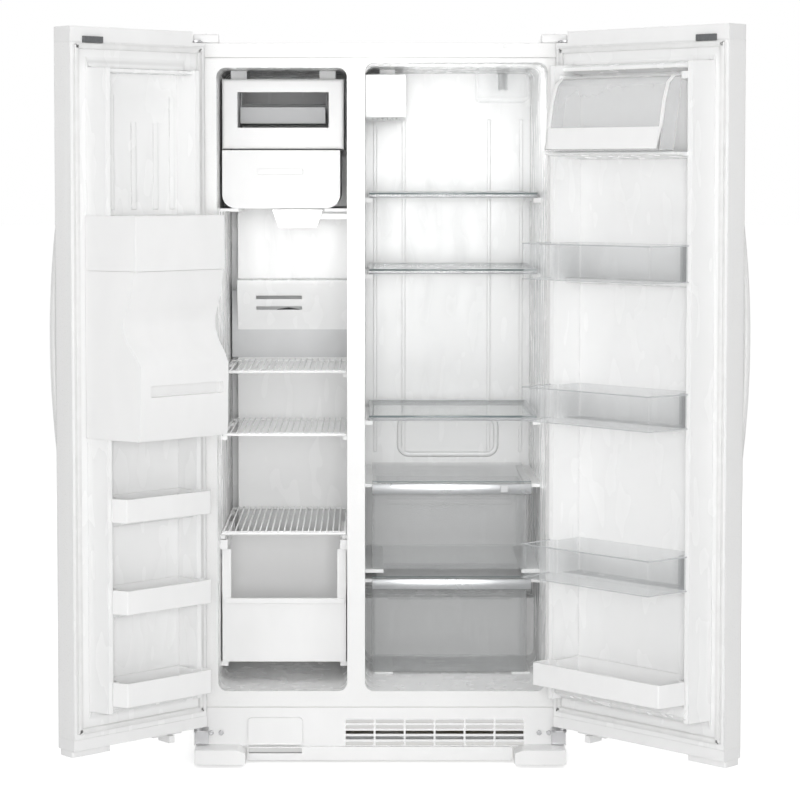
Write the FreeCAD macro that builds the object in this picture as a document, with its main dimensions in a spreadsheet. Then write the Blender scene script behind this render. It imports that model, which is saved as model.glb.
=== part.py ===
import FreeCAD, Part
import Sketcher
import math
import os
import re

# A side by side refrigerator, both doors open. Millimetres, +Z up, the floor at Z = 0.
# The case is drawn about its own front centre: X = 0 between its sides, Y = 0 on its front
# face, +Y to the rear. case_x and case_y then set it down in the part's frame.
# A door is drawn closed, about its hinge pin, and turned open by its Placement.
# "across" runs from a door's hinge edge to its free edge, "inward" from its inner face
# into the case.

SIZES = {
    # the case
    "case_x": -38.3,
    "case_y": -131.5,
    "case_width": 908,
    "case_depth": 715,
    "case_top": 1750,
    "case_bottom": 40,
    "sheet": 1,
    "case_round": 7,
    "plastic": 2,
    "frame_bottom": 137,
    "top_rail_height": 34,
    "rail_groove": 2,
    "free_air": 0.3,
    # the two compartments
    "freezer_left": -394.6,
    "freezer_right": -80.3,
    "freezer_top": 1691,
    "freezer_back": 640,
    "fridge_left": -36.8,
    "fridge_right": 403,
    "fridge_top": 1703,
    "fridge_back": 632,
    "floor_level": 176,
    "hump_front": 430,
    "hump_top": 330,
    "corner_round": 22,
    "machine_front": 470,
    "machine_top": 300,
    "switch_drop": 8,
    "switch_x": 300,
    "switch_radius": 4,
    "switch_proud": 7,
    # the base
    "grille_top": 136,
    "grille_bottom": 8,
    "grille_depth": 40,
    "grille_wall": 3,
    "grille_half": 322,
    "slot_left": -84,
    "slot_right": 350,
    "slot_pitch": 13.6,
    "slot_height": 8,
    "slot_low": 43,
    "slot_rib": 5,
    "filter_left": -322,
    "filter_right": -189,
    "filter_low": 44,
    "filter_high": 111,
    "filter_radius": 24,
    "filter_length": 210,
    "foot_cover_in": 326,
    "foot_cover_out": 450,
    "foot_cover_height": 36,
    "foot_cover_depth": 60,
    "leg_radius": 8,
    "leg_pad_radius": 16,
    "leg_x": 388,
    "leg_y": 90,
    "roller_radius": 18,
    "roller_width": 24,
    "roller_x": 400,
    "roller_y": 640,
    "axle_radius": 5,
    "bore_air": 0.05,
    # the doors
    "fridge_dike": 90,
    "fridge_free_dike": 72,
    "freezer_dike": 65,
    "recess": 10,
    "dike_air": 10,
    "door_gap": 8,
    "door_thick": 71,
    "door_bottom": 97,
    "door_rise": 24,
    "door_top": "=case_top + door_rise",
    "door_between": 6,
    "freezer_door_width": 392,
    "pin_inset": 11.5,
    "pin_forward": 20.5,
    "pin_radius": 4,
    "freezer_open": 137.67,
    "fridge_open": 135.13,
    "cap_height": 35,
    "low_cap_height": 26,
    "door_round": 12,
    "gasket_margin": 8,
    "hinge_margin": 12.5,
    "gasket_width": 14,
    "gasket_low": 136,
    "gasket_high": 1736,
    "liner_low": 165,
    "liner_high": 1707,
    "handle_low": 633,
    "handle_high": 1467,
    "handle_reach": 62,
    "handle_width": 26,
    "handle_thick": 18,
    "handle_inset": 30,
    "handle_post": 40,
    # the freezer's fittings
    "ice_front": 112,
    "ice_left": -388,
    "ice_right": -89,
    "ice_split": 1494,
    "ice_bin_low": 1351,
    "ice_top": 1668,
    "evaporator_cover_front": 560,
    "wire_front": 180,
    "wire_back": 546,
    "wire_radius": 2.2,
    "rim_radius": 3.2,
    "basket_front": 112,
    "basket_back": 410,
    "basket_rise": 50,
    "basket_low": "=floor_level + basket_rise",
    "basket_high": 385,
    # the fridge's fittings
    "shelf_front": 200,
    "shelf_back": 618,
    "pane_thick": 4,
    "shelf_rim": 13,
    "crisper_left": -20,
    "crisper_right": 371,
    "crisper_wall": 3,
    "upper_crisper_low": 441,
    "upper_crisper_high": 628,
    "crisper_rise": 4,
    "lower_crisper_low": "=floor_level + crisper_rise",
    "lower_crisper_high": 388,
    "cover_height": 31,
    # the door bins
    "bin_wall": 3,
    "clear_bin_reach": 190,
    "low_bin_reach": 150,
    "freezer_bin_reach": 106,
    # the dispenser in the freezer door
    "well_left": 105,
    "well_right": 285,
    "well_low": 960,
    "well_high": 1260,
    "well_depth": 58,
    "panel_margin": 14,
    "panel_low_margin": 22,
    "panel_high_margin": 74,
    "housing_reach": 165,
    "housing_hinge_side": 63,
    "housing_low": 826,
    "housing_split": 1214,
    "housing_high": 1340,
    # moving air and cold
    "fan_radius": 52,
    "compressor_radius": 75,
}

document = FreeCAD.newDocument("refrigerator")
sheet = document.addObject("Spreadsheet::Sheet", "sizes")
for row, (name, value) in enumerate(SIZES.items(), start=1):
    sheet.set(f"A{row}", name)
    sheet.set(f"B{row}", str(value))
    sheet.setAlias(f"B{row}", name)
document.recompute()

AXES = {"x": FreeCAD.Vector(1, 0, 0), "y": FreeCAD.Vector(0, 1, 0), "z": FreeCAD.Vector(0, 0, 1)}
TURNS = {
    "x": FreeCAD.Rotation(AXES["y"], 90),
    "y": FreeCAD.Rotation(AXES["x"], -90),
    "z": FreeCAD.Rotation(),
}
subparts = []


def bound(text):
    """The expression with each size's name read from the sheet."""
    return re.sub(r"[a-z_]+", lambda word: "sizes." + word[0] if word[0] in SIZES else word[0], str(text))


def bind(thing, prop, text):
    thing.setExpression(prop, bound(text))


def place(thing, x, y, z):
    for axis, text in zip("xyz", (x, y, z)):
        bind(thing, f"Placement.Base.{axis}", text)


def box(x, y, z):
    """A block between two expressions along each axis."""
    block = document.addObject("Part::Box", "block")
    for prop, span in zip(("Length", "Width", "Height"), (x, y, z)):
        bind(block, prop, f"({span[1]}) - ({span[0]})")
    place(block, x[0], y[0], z[0])
    return block


def rod(axis, start, length, radius):
    """A cylinder from a point along an axis."""
    shaft = document.addObject("Part::Cylinder", "shaft")
    shaft.Placement = FreeCAD.Placement(FreeCAD.Vector(), TURNS[axis])
    bind(shaft, "Radius", radius)
    bind(shaft, "Height", length)
    place(shaft, *start)
    return shaft


def profile(plane, outline, span):
    """An outline in a plane ("xy", "xz" or "yz"), extruded between two places on the third axis."""
    sketch = document.addObject("Sketcher::SketchObject", "outline")
    turns = {"xy": (0, 0, 0), "xz": (0, 0, 90), "yz": (90, 0, 90)}
    sketch.Placement = FreeCAD.Placement(FreeCAD.Vector(), FreeCAD.Rotation(*turns[plane]))
    corners = len(outline)
    for index in range(corners):
        ends = [FreeCAD.Vector(*guess(outline[(index + step) % corners]), 0) for step in (0, 1)]
        sketch.addGeometry(Part.LineSegment(*ends), False)
    for index, corner in enumerate(outline):
        sketch.addConstraint(Sketcher.Constraint("Coincident", index, 2, (index + 1) % corners, 1))
        for kind, text, value in zip(("DistanceX", "DistanceY"), corner, guess(corner)):
            number = sketch.addConstraint(Sketcher.Constraint(kind, -1, 1, index, 1, value))
            sketch.setExpression(f"Constraints[{number}]", bound(text))
    third = ({"x", "y", "z"} - set(plane)).pop()
    solid = document.addObject("Part::Extrusion", "extrusion")
    solid.Base = sketch
    solid.DirMode = "Custom"
    solid.Dir = AXES[third]
    solid.Solid = True
    bind(solid, "LengthFwd", f"({span[1]}) - ({span[0]})")
    bind(solid, f"Placement.Base.{third}", span[0])
    return solid


def guess(corner):
    """A corner's coordinates as the sizes stand now, for the sketch's first drawing."""
    return [float(sheet.evalExpression(bound(text))) for text in corner]


def size(text):
    """What an expression of sizes comes to now."""
    return float(sheet.evalExpression(bound(text)))


def combine(kind, things):
    result = document.addObject(kind, "combined")
    result.Shapes = things
    return result


def fuse(*things):
    return combine("Part::MultiFuse", list(things))


def cut(base, *tools):
    result = document.addObject("Part::Cut", "cut")
    result.Base = base
    result.Tool = tools[0] if len(tools) == 1 else fuse(*tools)
    return result


def soften(thing, radius, wanted):
    """Round the edges for which wanted(edge) is true."""
    document.recompute()
    reach = size(radius)
    edges = [n for n, edge in enumerate(thing.Shape.Edges, start=1) if wanted(edge)]
    rounded = document.addObject("Part::Fillet", "rounded")
    rounded.Base = thing
    rounded.Edges = [(n, reach, reach) for n in edges]
    return rounded


def along(axis):
    """A test for straight edges that run along an axis."""
    def wanted(edge):
        if edge.Curve.TypeId != "Part::GeomLine":
            return False
        return abs(edge.tangentAt(edge.FirstParameter).dot(AXES[axis])) > 0.999
    return wanted


def mirrored(*makers):
    """Each maker's solid on the right (+1) and on the left (-1) of the case."""
    return [maker(side) for maker in makers for side in (1, -1)]


def beside(side, near, far):
    """A span of X, measured from the case's middle plane, on one side of it."""
    return (near, far) if side > 0 else (f"-({far})", f"-({near})")


def node(label, *solids):
    """A sub-part that is fixed to the case, or slides or turns in it."""
    part = document.addObject("Part::Compound", "subpart")
    part.Links = list(solids)
    part.Label = label
    place(part, "case_x", "case_y", 0)
    subparts.append(part)
    return part


class Door:
    """A door drawn closed: across from its hinge edge, inward from its inner face."""

    def __init__(self, name, side, width, swing):
        self.name, self.side, self.width, self.swing = name, side, width, swing

    def x(self, across):
        """The place of a distance across the door, from its pin."""
        return f"{-self.side} * (({across}) - pin_inset)"

    def y(self, inward):
        return f"({inward}) + pin_forward"

    def span(self, across):
        ends = [self.x(end) for end in across]
        return ends if self.side < 0 else ends[::-1]

    def box(self, across, inward, z):
        return box(self.span(across), [self.y(end) for end in inward], z)

    def upright(self, outline, z):
        """An outline of (across, inward) corners, standing between two heights."""
        return profile("xy", [(self.x(a), self.y(n)) for a, n in outline], z)

    def facing(self, outline, inward):
        """An outline of (across, height) corners, between two depths."""
        return profile("xz", [(self.x(a), z) for a, z in outline], [self.y(end) for end in inward])

    def level(self, outline, across):
        """An outline of (inward, height) corners, along the door's width."""
        return profile("yz", [(self.y(n), z) for n, z in outline], self.span(across))

    def node(self, label, *solids):
        part = node(label, *solids)
        place(
            part,
            f"case_x + {self.side} * (case_width / 2 - pin_inset)",
            "case_y - door_gap - pin_forward",
            0,
        )
        part.Placement.Rotation = FreeCAD.Rotation(AXES["z"], self.side * size(self.swing))
        bind(part, "Placement.Rotation.Angle", f"{self.side} * {self.swing}")
        return part


freezer_door = Door("freezer", -1, "freezer_door_width", "freezer_open")
fridge_door = Door("fridge", 1, "case_width - door_between - freezer_door_width", "fridge_open")
HALF = "case_width / 2"
INSIDE = ("sheet - case_width / 2", "case_width / 2 - sheet")

# ---------------------------------------------------------------- the case and its liners


def liner_form(left, right, top, back, wall, front):
    """A compartment's outline from the side, with its step over the machine space."""
    outline = [
        (front, f"floor_level - {wall}"),
        (f"hump_front + {wall}", f"floor_level - {wall}"),
        (f"hump_front + {wall}", f"hump_top - {wall}"),
        (f"{back} + {wall}", f"hump_top - {wall}"),
        (f"{back} + {wall}", f"{top} + {wall}"),
        (front, f"{top} + {wall}"),
    ]
    form = profile("yz", outline, (f"{left} - {wall}", f"{right} + {wall}"))
    low, high = size(f"floor_level - {wall}"), size(f"{top} + {wall}")

    def corner(edge):
        middle = edge.CenterOfMass
        return along("y")(edge) and min(abs(middle.z - low), abs(middle.z - high)) < 0.1

    return soften(form, f"corner_round + {wall}", corner)


ROOMS = {
    "freezer": ("freezer_left", "freezer_right", "freezer_top", "freezer_back"),
    "fridge": ("fridge_left", "fridge_right", "fridge_top", "fridge_back"),
}
cavities = {name: liner_form(*room, "0", "-sheet") for name, room in ROOMS.items()}
linings = {name: liner_form(*room, "plastic", "sheet") for name, room in ROOMS.items()}
for name in ROOMS:
    liner = cut(linings[name], cavities[name])
    if name == "fridge":
        ribs = [
            box(
                (f"fridge_left + {x}", f"fridge_left + {x} + 8"), ("fridge_back - 2", "fridge_back + 1"),
                ("690", "1580")
            )
            for x in (22, 98, 326, 412)
        ]
        liner = fuse(liner, *ribs)
    node(f"{name}_liner", liner)



def case_block(inset, back, low):
    """The case as a block, rounded on its front upright edges, drawn in by an inset."""
    block = box((f"{inset} - {HALF}", f"{HALF} - {inset}"), (inset, back), (low, f"case_top - {inset}"))
    return soften(
        block, f"case_round - {inset}", lambda edge: along("z")(edge) and edge.CenterOfMass.y < size(
            inset
        ) + 0.1
    )


rail_low = "case_top - top_rail_height"
EVERY_X = (f"-1 - {HALF}", f"{HALF} + 1")
below_frame = box(EVERY_X, ("-1", "case_round + 1"), ("case_bottom - 1", "frame_bottom"))
rail_line = box(EVERY_X, ("-1", "sheet / 2"), (f"{rail_low} - rail_groove", rail_low))
switch_at = "case_top - switch_drop"
switch_holes = mirrored(
    lambda side: rod("y", (f"{side} * switch_x", "-1", switch_at), "32", "switch_radius + bore_air")
)
folded_sheet = cut(case_block("0", "case_depth", "case_bottom"), case_block("sheet", "case_depth + 1", "0"))
openings = list(cavities.values())
node("cabinet_shell", cut(folded_sheet, *openings, below_frame, rail_line, *switch_holes))

machine_space = box(INSIDE, ("machine_front", "case_depth"), ("case_bottom", "machine_top"))
foam_block = case_block("sheet", "case_depth - sheet", "frame_bottom")
node("cabinet_foam", cut(foam_block, *linings.values(), machine_space, *switch_holes))

back_span = ("case_depth - sheet", "case_depth")
back_panel = box(INSIDE, back_span, ("machine_top", "case_top - sheet"))
machine_cover = box(INSIDE, back_span, ("case_bottom + 30", "machine_top - 1"))
louvres = [
    box((f"{x}", f"{x} + 120"), ("case_depth - 5", "case_depth + 5"), (f"{z}", f"{z} + 8"))
    for x in (-360, -200, -40, 120, 280 - 20)
    for z in (110, 135, 160, 185, 210, 235)
]
valve_hole = box(("369", "411"), ("case_depth - 5", "case_depth + 5"), ("95", "151"))
node("rear_panels", back_panel, cut(machine_cover, *louvres, valve_hole))

# ---------------------------------------------------------------- the base, its feet and rollers

rail_span = (f"{HALF} - sheet - 34", f"{HALF} - sheet")
side_rails = mirrored(lambda side: box(beside(side, *rail_span), ("30", "case_depth - 6"), ("42", "68")))
between = (f"34 + sheet - {HALF}", f"{HALF} - sheet - 34")
front_bar = box(between, ("leg_y - 26", "leg_y + 26"), ("42", "52"))
machine_tray = box(between, ("machine_front - 10", "case_depth - 6"), ("50", "54"))
tray_lip = box(between, ("case_depth - 10", "case_depth - 6"), ("42", "54"))
roller_ear = "roller_width / 2 + 1"


def roller_bracket(side):
    ears = [
        box(
            (f"{side} * roller_x + {shift}", f"{side} * roller_x + {shift} + 3"),
            ("roller_y - 16", "roller_y + 16"),
            ("6", "50.5"),
        )
        for shift in (roller_ear, f"-({roller_ear}) - 3")
    ]
    return fuse(*ears)


roller_line = ("-440", "roller_y", "roller_radius")
base = fuse(*side_rails, front_bar, machine_tray, tray_lip, *mirrored(roller_bracket))
leg_holes = mirrored(
    lambda side: rod("z", (f"{side} * leg_x", "leg_y", "40"), "40", "leg_radius + bore_air")
)
node("base_frame", cut(base, *leg_holes, rod("x", roller_line, "880", "axle_radius + bore_air")))


def leg(side):
    screw = rod("z", (f"{side} * leg_x", "leg_y", "0"), "72", "leg_radius")
    return fuse(screw, rod("z", (f"{side} * leg_x", "leg_y", "0"), "9", "leg_pad_radius"))


def roller(side):
    wheel = ("x", (f"{side} * roller_x - roller_width / 2", "roller_y", "roller_radius"))
    axle = ("x", (f"{side} * roller_x - {roller_ear} - 6", "roller_y", "roller_radius"))
    tyre = soften(rod(*wheel, "roller_width", "roller_radius"), "3", lambda edge: edge.Closed)
    return fuse(tyre, rod(*axle, f"2 * ({roller_ear}) + 12", "axle_radius"))


node("leveling_legs", *mirrored(leg))
node("rear_rollers", *mirrored(roller))

# ---------------------------------------------------------------- the grille along the floor

grille_face = box((f"4 - {HALF}", f"{HALF} - 4"), ("1", "1 + grille_wall"), ("41", "grille_top"))
grille_bar = box(("-grille_half", "grille_half"), ("-10", "1 + grille_wall"), ("grille_bottom", "41"))
ribs = 5
bay = f"((slot_right - slot_left - {ribs} * slot_rib) / {ribs + 1})"
air_slots = [
    box(
        (f"slot_left + {n} * ({bay} + slot_rib)", f"slot_left + {n} * ({bay} + slot_rib) + {bay}"),
        ("-1", "2 + grille_wall"),
        (f"slot_low + {row} * slot_pitch", f"slot_low + {row} * slot_pitch + slot_height"),
    )
    for n in range(ribs + 1)
    for row in range(5)
]
filter_bay = (("filter_left + 6", "filter_right - 6"), ("filter_low + 6", "filter_high - 6"))
filter_hole = box(filter_bay[0], ("-1", "2 + grille_wall"), filter_bay[1])
toe_slot = box(("filter_left + 2", "filter_right - 2"), ("-11", "2 + grille_wall"), ("25", "38"))


def foot_cover(side):
    outline = [
        (f"{side} * foot_cover_in", "grille_bottom"),
        (f"{side} * foot_cover_out", "grille_bottom"),
        (f"{side} * foot_cover_out", "grille_bottom + foot_cover_height"),
        (f"{side} * (foot_cover_in + 20)", "grille_bottom + foot_cover_height"),
        (f"{side} * foot_cover_in", "grille_bottom + foot_cover_height - 8"),
    ]
    shell = soften(profile("xz", outline, ("-foot_cover_depth", "1")), "4", along("y"))
    hollow = box(
        beside(side, "foot_cover_in + 3", "foot_cover_out - 3"),
        ("3 - foot_cover_depth", "2"),
        ("0", "grille_bottom + foot_cover_height - 11"),
    )
    return cut(shell, hollow)


grille = cut(fuse(grille_face, grille_bar), *air_slots, filter_hole, toe_slot)
node("base_grille", grille, *mirrored(foot_cover))

filter_middle = ("(filter_left + filter_right) / 2", "(filter_low + filter_high) / 2")
cartridge = rod(
    "y", (filter_middle[0], "6 + grille_wall", filter_middle[1]), "filter_length", "filter_radius"
)
filter_cap = rod("y", (filter_middle[0], "0.7", filter_middle[1]), "6 + grille_wall", "filter_radius - 3")
filter_socket = box(
    ("filter_left + 30", "filter_right - 30"),
    ("6 + grille_wall + filter_length", "46 + grille_wall + filter_length"),
    ("60", "frame_bottom"),
)
node("water_filter", fuse(cartridge, filter_cap), filter_socket)
filter_plate = soften(
    box(("filter_left", "filter_right"), ("-6", "0.3"), ("filter_low + 0.8", "filter_high")), "9", along("y")
)
filter_barrel = rod(
    "x", ("filter_left + 12", "-3", "filter_low + 3"), "filter_right - filter_left - 24", "3.7"
)
node("filter_cover", fuse(filter_plate, filter_barrel))

# ---------------------------------------------------------------- hinges

PIN_X = f"({HALF} - pin_inset)"
PIN_Y = "-(door_gap + pin_forward)"
TOP_LEAF = 5
BRACKET_TOP = "door_bottom - 9"


def top_hinge(side):
    span = beside(side, f"{PIN_X} - 13", f"{PIN_X} + 13")
    leaf = box(span, (f"{PIN_Y} - 13", "70"), ("case_top", f"case_top + {TOP_LEAF}"))
    leaf = soften(leaf, "12", along("z"))
    return fuse(leaf, rod("z", (f"{side} * {PIN_X}", PIN_Y, "case_top - 9"), "11", "pin_radius"))


def hinge_cover(side):
    span = beside(side, f"{HALF} - 67", f"{HALF} - 3")
    body = soften(box(span, ("3", "84"), ("case_top", "case_top + 22")), "5", lambda edge: True)
    inner = beside(side, f"{PIN_X} - 13.5", f"{HALF} - 0.4 - 0.5")
    return cut(body, box(inner, ("0", "71"), ("case_top - 1", f"case_top + {TOP_LEAF} + 0.3")))


def bottom_hinge(side):
    span = beside(side, f"{HALF} - 36", f"{HALF} - 1.5")
    leaf = box(span, (f"{PIN_Y} - 14", "-0.3"), (f"{BRACKET_TOP} - 5", BRACKET_TOP))
    leaf = soften(leaf, "10", lambda edge: along("z")(edge) and edge.CenterOfMass.y < size(PIN_Y))
    foot = box(span, ("-5", "-0.3"), ("46", BRACKET_TOP))
    washer = rod("z", (f"{side} * {PIN_X}", PIN_Y, f"{BRACKET_TOP} - 1"), "9.7", "9")
    pin = rod("z", (f"{side} * {PIN_X}", PIN_Y, f"{BRACKET_TOP} - 1"), "32", "pin_radius")
    return fuse(leaf, foot, washer, pin)


node("hinges", *mirrored(top_hinge, bottom_hinge))
node("hinge_covers", *mirrored(hinge_cover))

# ---------------------------------------------------------------- cold and air behind the liners


def serpentine(axis, ends, start, steps, count, radius):
    """Straight tubes between two ends of an axis, joined by half rings, in an endless zigzag."""
    pieces = []
    for n in range(count):
        at = [f"{begin} + {n} * ({step})" for begin, step in zip(start, steps)]
        pieces.append(rod(axis, (ends[0], *at), f"({ends[1]}) - ({ends[0]})", radius))
        if n == count - 1:
            break
        bend = document.addObject("Part::Torus", "bend")
        far = n % 2 == 0
        bend.Placement.Rotation = FreeCAD.Rotation(AXES["x"], 90)
        bend.Angle3 = 180
        turn = FreeCAD.Rotation(AXES["y"], 90 if far else -90)
        bend.Placement.Rotation = turn.multiply(bend.Placement.Rotation)
        bind(bend, "Radius1", f"({steps[1]}) / 2")
        bind(bend, "Radius2", radius)
        place(bend, ends[1] if far else ends[0], at[0], f"{at[1]} + ({steps[1]}) / 2")
        pieces.append(bend)
    return pieces


coil_x = ("freezer_left + 56", "freezer_right - 40")
coil = serpentine("x", coil_x, ("600", "380"), ("0", "40"), 12, "4.5")
fins = [
    box((f"freezer_left + {x}", f"freezer_left + {x} + 1"), ("586", "614"), ("370", "830"))
    for x in range(64, 268, 20)
]
coil_plates = [
    box((x, f"{x} + 2"), ("586", "freezer_back"), ("370", "836")) for x in (
        "freezer_left + 60", "freezer_right - 46"
    )
]
node("evaporator_coil", fuse(*coil, *fins, *coil_plates))
condenser = serpentine("x", ("-350", "-130"), ("520", "110"), ("0", "24"), 7, "3")
second = serpentine("x", ("-350", "-130"), ("560", "110"), ("0", "24"), 7, "3")
plates = [box((f"{x}", f"{x} + 1"), ("508", "572"), ("104", "260")) for x in range(-330, -140, 20)]
coil_feet = [box((f"{x}", f"{x} + 3"), ("508", "572"), ("54", "110")) for x in (-351, -132)]
node("condenser_coil", fuse(*condenser, *second, *plates, *coil_feet))


def tray(x, y, z, wall, corner="0"):
    """An open tray with an even wall."""
    outer = box(x, y, z)
    inner = box(
        (f"{x[0]} + {wall}", f"{x[1]} - {wall}"),
        (f"{y[0]} + {wall}", f"{y[1]} - {wall}"),
        (f"{z[0]} + {wall}", f"{z[1]} + 1"),
    )
    if size(corner):
        outer = soften(outer, corner, along("z"))
        inner = soften(inner, f"{corner} - {wall}", along("z"))
    return cut(outer, inner)


node("drain_pan", tray(("-340", "-142"), ("590", "700"), ("54", "84"), "plastic", "12"))

SHELL = ("230", "594")
can = soften(rod("z", (*SHELL, "70"), "150", "compressor_radius"), "26", lambda edge: edge.Closed)
deck = box(("120", "340"), ("530", "658"), ("64", "68"))
pads = [rod("z", (str(x), str(y), "54"), "10", "11") for x in (135, 325) for y in (545, 643)]
stub = rod("z", (*SHELL, "67"), "10", "40")
pipe = rod("z", ("280", "640", "200"), "60", "5")
node("compressor", fuse(can, deck, stub, pipe, *pads))


def fan(axis, hub_at, blades=5):
    """A hub, its shaft, and blades set at an angle round it."""
    shaft_at, hub = hub_at
    pieces = [rod(axis, hub, "16", "15"), rod(axis, shaft_at, "34", "3")]
    middle = [f"{text} + 8" if name == axis else text for name, text in zip("xyz", hub)]
    for n in range(blades):
        blade = document.addObject("Part::Box", "blade")
        bind(blade, "Length", "fan_radius - 12")
        blade.Width = 30
        blade.Height = 1.6
        turn = FreeCAD.Rotation(AXES[axis], n * 360 / blades)
        tilt = FreeCAD.Rotation(AXES["x"], 35)
        lie = FreeCAD.Rotation() if axis == "z" else FreeCAD.Rotation(AXES["x"], 90)
        if axis == "x":
            lie = FreeCAD.Rotation(AXES["y"], -90)
            tilt = FreeCAD.Rotation(AXES["x"], 35)
        pose = turn.multiply(lie).multiply(tilt)
        out = pose.multVec(FreeCAD.Vector(12, -15, -0.8))
        blade.Placement = FreeCAD.Placement(FreeCAD.Vector(), pose)
        place(blade, *[f"{text} + {shift:.3f}" for text, shift in zip(middle, out)])
        pieces.append(blade)
    return fuse(*pieces)


FAN_X, FAN_Z = "(freezer_left + freezer_right) / 2", "980"
node("evaporator_fan", fan("y", ((FAN_X, "590", FAN_Z), (FAN_X, "590", FAN_Z))))
node("condenser_fan", fan("x", (("-90", "592", "150"), ("-90", "592", "150"))))
cold_motor = cut(
    fuse(
        rod("y", (FAN_X, "609", FAN_Z), "freezer_back - 609", "26"),
        box((f"{FAN_X} - 60", f"{FAN_X} + 60"), ("freezer_back - 4", "freezer_back"), ("970", "990")),
    ),
    rod("y", (FAN_X, "600", FAN_Z), "24.5", "3 + bore_air"),
)
warm_motor = cut(
    fuse(
        rod("x", ("-71", "592", "150"), "40", "30"),
        box(("-60", "-42"), ("582", "602"), ("54", "150")),
    ),
    rod("x", ("-80", "592", "150"), "24.5", "3 + bore_air"),
)
node("fan_motors", cold_motor, warm_motor)
valve_body = box(("370", "410"), ("case_depth - 46", "case_depth + 4"), ("96", "150"))
inlet = rod("y", ("390", "case_depth + 3", "122"), "22", "9.5")
valve_foot = box(("376", "404"), ("case_depth - 46", "case_depth - 20"), ("54", "97"))
node("inlet_valve", fuse(valve_body, inlet, valve_foot))

# ---------------------------------------------------------------- what the freezer holds

FREEZER = ("freezer_left", "freezer_right")


def sheet_profile(plane, line, depth, span):
    """A bent sheet: a line of corners, and the same line moved back by its depth."""
    back = [(f"{a} + {depth[0]}", f"{b} + {depth[1]}") for a, b in reversed(line)]
    return profile(plane, line + back, span)


cover_line = [
    ("evaporator_cover_front", "hump_top + 2"),
    ("evaporator_cover_front", "1020"),
    ("evaporator_cover_front - 46", "1142"),
    ("evaporator_cover_front - 46", "1156"),
    ("evaporator_cover_front", "1158"),
    ("evaporator_cover_front", "ice_split - 10"),
]
cover_x = ("freezer_left + 20", "freezer_right - 3")
cold_wall = sheet_profile("yz", cover_line, ("3", "0"), cover_x)
returns = [
    box(
        (edge, f"{edge} + 3"), ("evaporator_cover_front + 2", "freezer_back"),
        ("hump_top + 2", "ice_split - 10")
    )
    for edge in (cover_x[0], "freezer_right - 6")
]
air_holes = [
    box(
        ("freezer_left + 70", "freezer_left + 190"), ("evaporator_cover_front - 60", "570"),
        (f"{z}", f"{z} + 9")
    )
    for z in (1077, 1106)
]
low_holes = [
    box((f"freezer_left + {x}", f"freezer_left + {x} + 8"), ("555", "570"), ("345", "385"))
    for x in range(60, 270, 18)
]
node("evaporator_cover", cut(fuse(cold_wall, *returns), *air_holes, *low_holes))

housing_x = ("ice_left", "ice_right")
ice_shell = box(housing_x, ("ice_front", "400"), ("ice_split + 2", "ice_top"))
ice_shell = soften(ice_shell, "8", lambda edge: edge.CenterOfMass.y < size("ice_front") + 1)
ice_space = box(("ice_left + 3", "ice_right - 3"), ("ice_front + 4", "401"), ("ice_split", "ice_top - 3"))
ice_window = box(("ice_left + 38", "ice_right - 37"), ("ice_front - 5", "ice_front + 5"), ("1549", "1636"))
hangers = [box((f"{x}", f"{x} + 40"), ("180", "340"), ("ice_top - 1", "freezer_top")) for x in (-370, -150)]
chute_line = [("-142", "1347"), ("-269", "1347"), ("-252", "1302"), ("-158", "1302")]
chute_out = profile("xz", chute_line, ("200", "285"))
chute_in = profile(
    "xz", [("-146", "1349"), ("-265", "1349"), ("-248", "1300"), ("-162", "1300")], ("204", "281")
)
chute_arm = box(("-150", "freezer_right"), ("236", "250"), ("1322", "1336"))
chute = cut(fuse(chute_out, chute_arm), chute_in)
node("ice_maker_housing", cut(fuse(ice_shell, *hangers), ice_space, ice_window), chute)

mould = tray(("-345", "-135"), ("150", "360"), ("1560", "1600"), "4")
cups = [box((f"{x}", f"{x} + 3"), ("152", "358"), ("1562", "1594")) for x in range(-321, -140, 24)]
ejector = rod("x", ("-348", "255", "1606"), "216", "5")
ears = [box((f"{x}", f"{x} + 4"), ("245", "265"), ("1590", "ice_top - 3")) for x in (-349, -136)]
gearcase = box(("-382", "-349"), ("190", "320"), ("1540", "ice_top - 3"))
auger_motor = box(("-296", "-190"), ("432", "500"), ("ice_bin_low", "1452"))
auger_fork = rod("y", ("-243", "423", "1402"), "10", "9")
node("ice_maker", fuse(mould, *cups, ejector, *ears, gearcase), fuse(auger_motor, auger_fork))

ice_bin_x = ("ice_left", "ice_right - 9")


def ice_bin_form(inset, top):
    form = box(
        (f"{ice_bin_x[0]} + {inset}", f"{ice_bin_x[1]} - {inset}"),
        (f"ice_front + {inset}", f"420 - {inset}"),
        (f"ice_bin_low + {inset}", top),
    )
    low = size(f"ice_bin_low + {inset}")
    return soften(form, f"34 - {inset}", lambda edge: along("y")(edge) and edge.CenterOfMass.z < low + 1)


outlet = box(("-262", "-150"), ("208", "278"), ("ice_bin_low - 1", "ice_bin_low + 5"))
auger_hole = rod("y", ("-243", "410", "1402"), "12", "6 + bore_air")
ice_bin = cut(ice_bin_form("0", "ice_split"), ice_bin_form("3", "ice_split + 1"), outlet, auger_hole)
bin_grip = box(("-300", "-190"), ("ice_front - 7", "ice_front + 1"), ("ice_split - 60", "ice_split - 46"))
bearing = rod("y", ("-243", "ice_front + 2", "1402"), "10", "12")
bearing_hole = rod("y", ("-243", "ice_front + 4", "1402"), "9", "6 + bore_air")
node("ice_bin", cut(fuse(ice_bin, bin_grip, bearing), bearing_hole))


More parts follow.
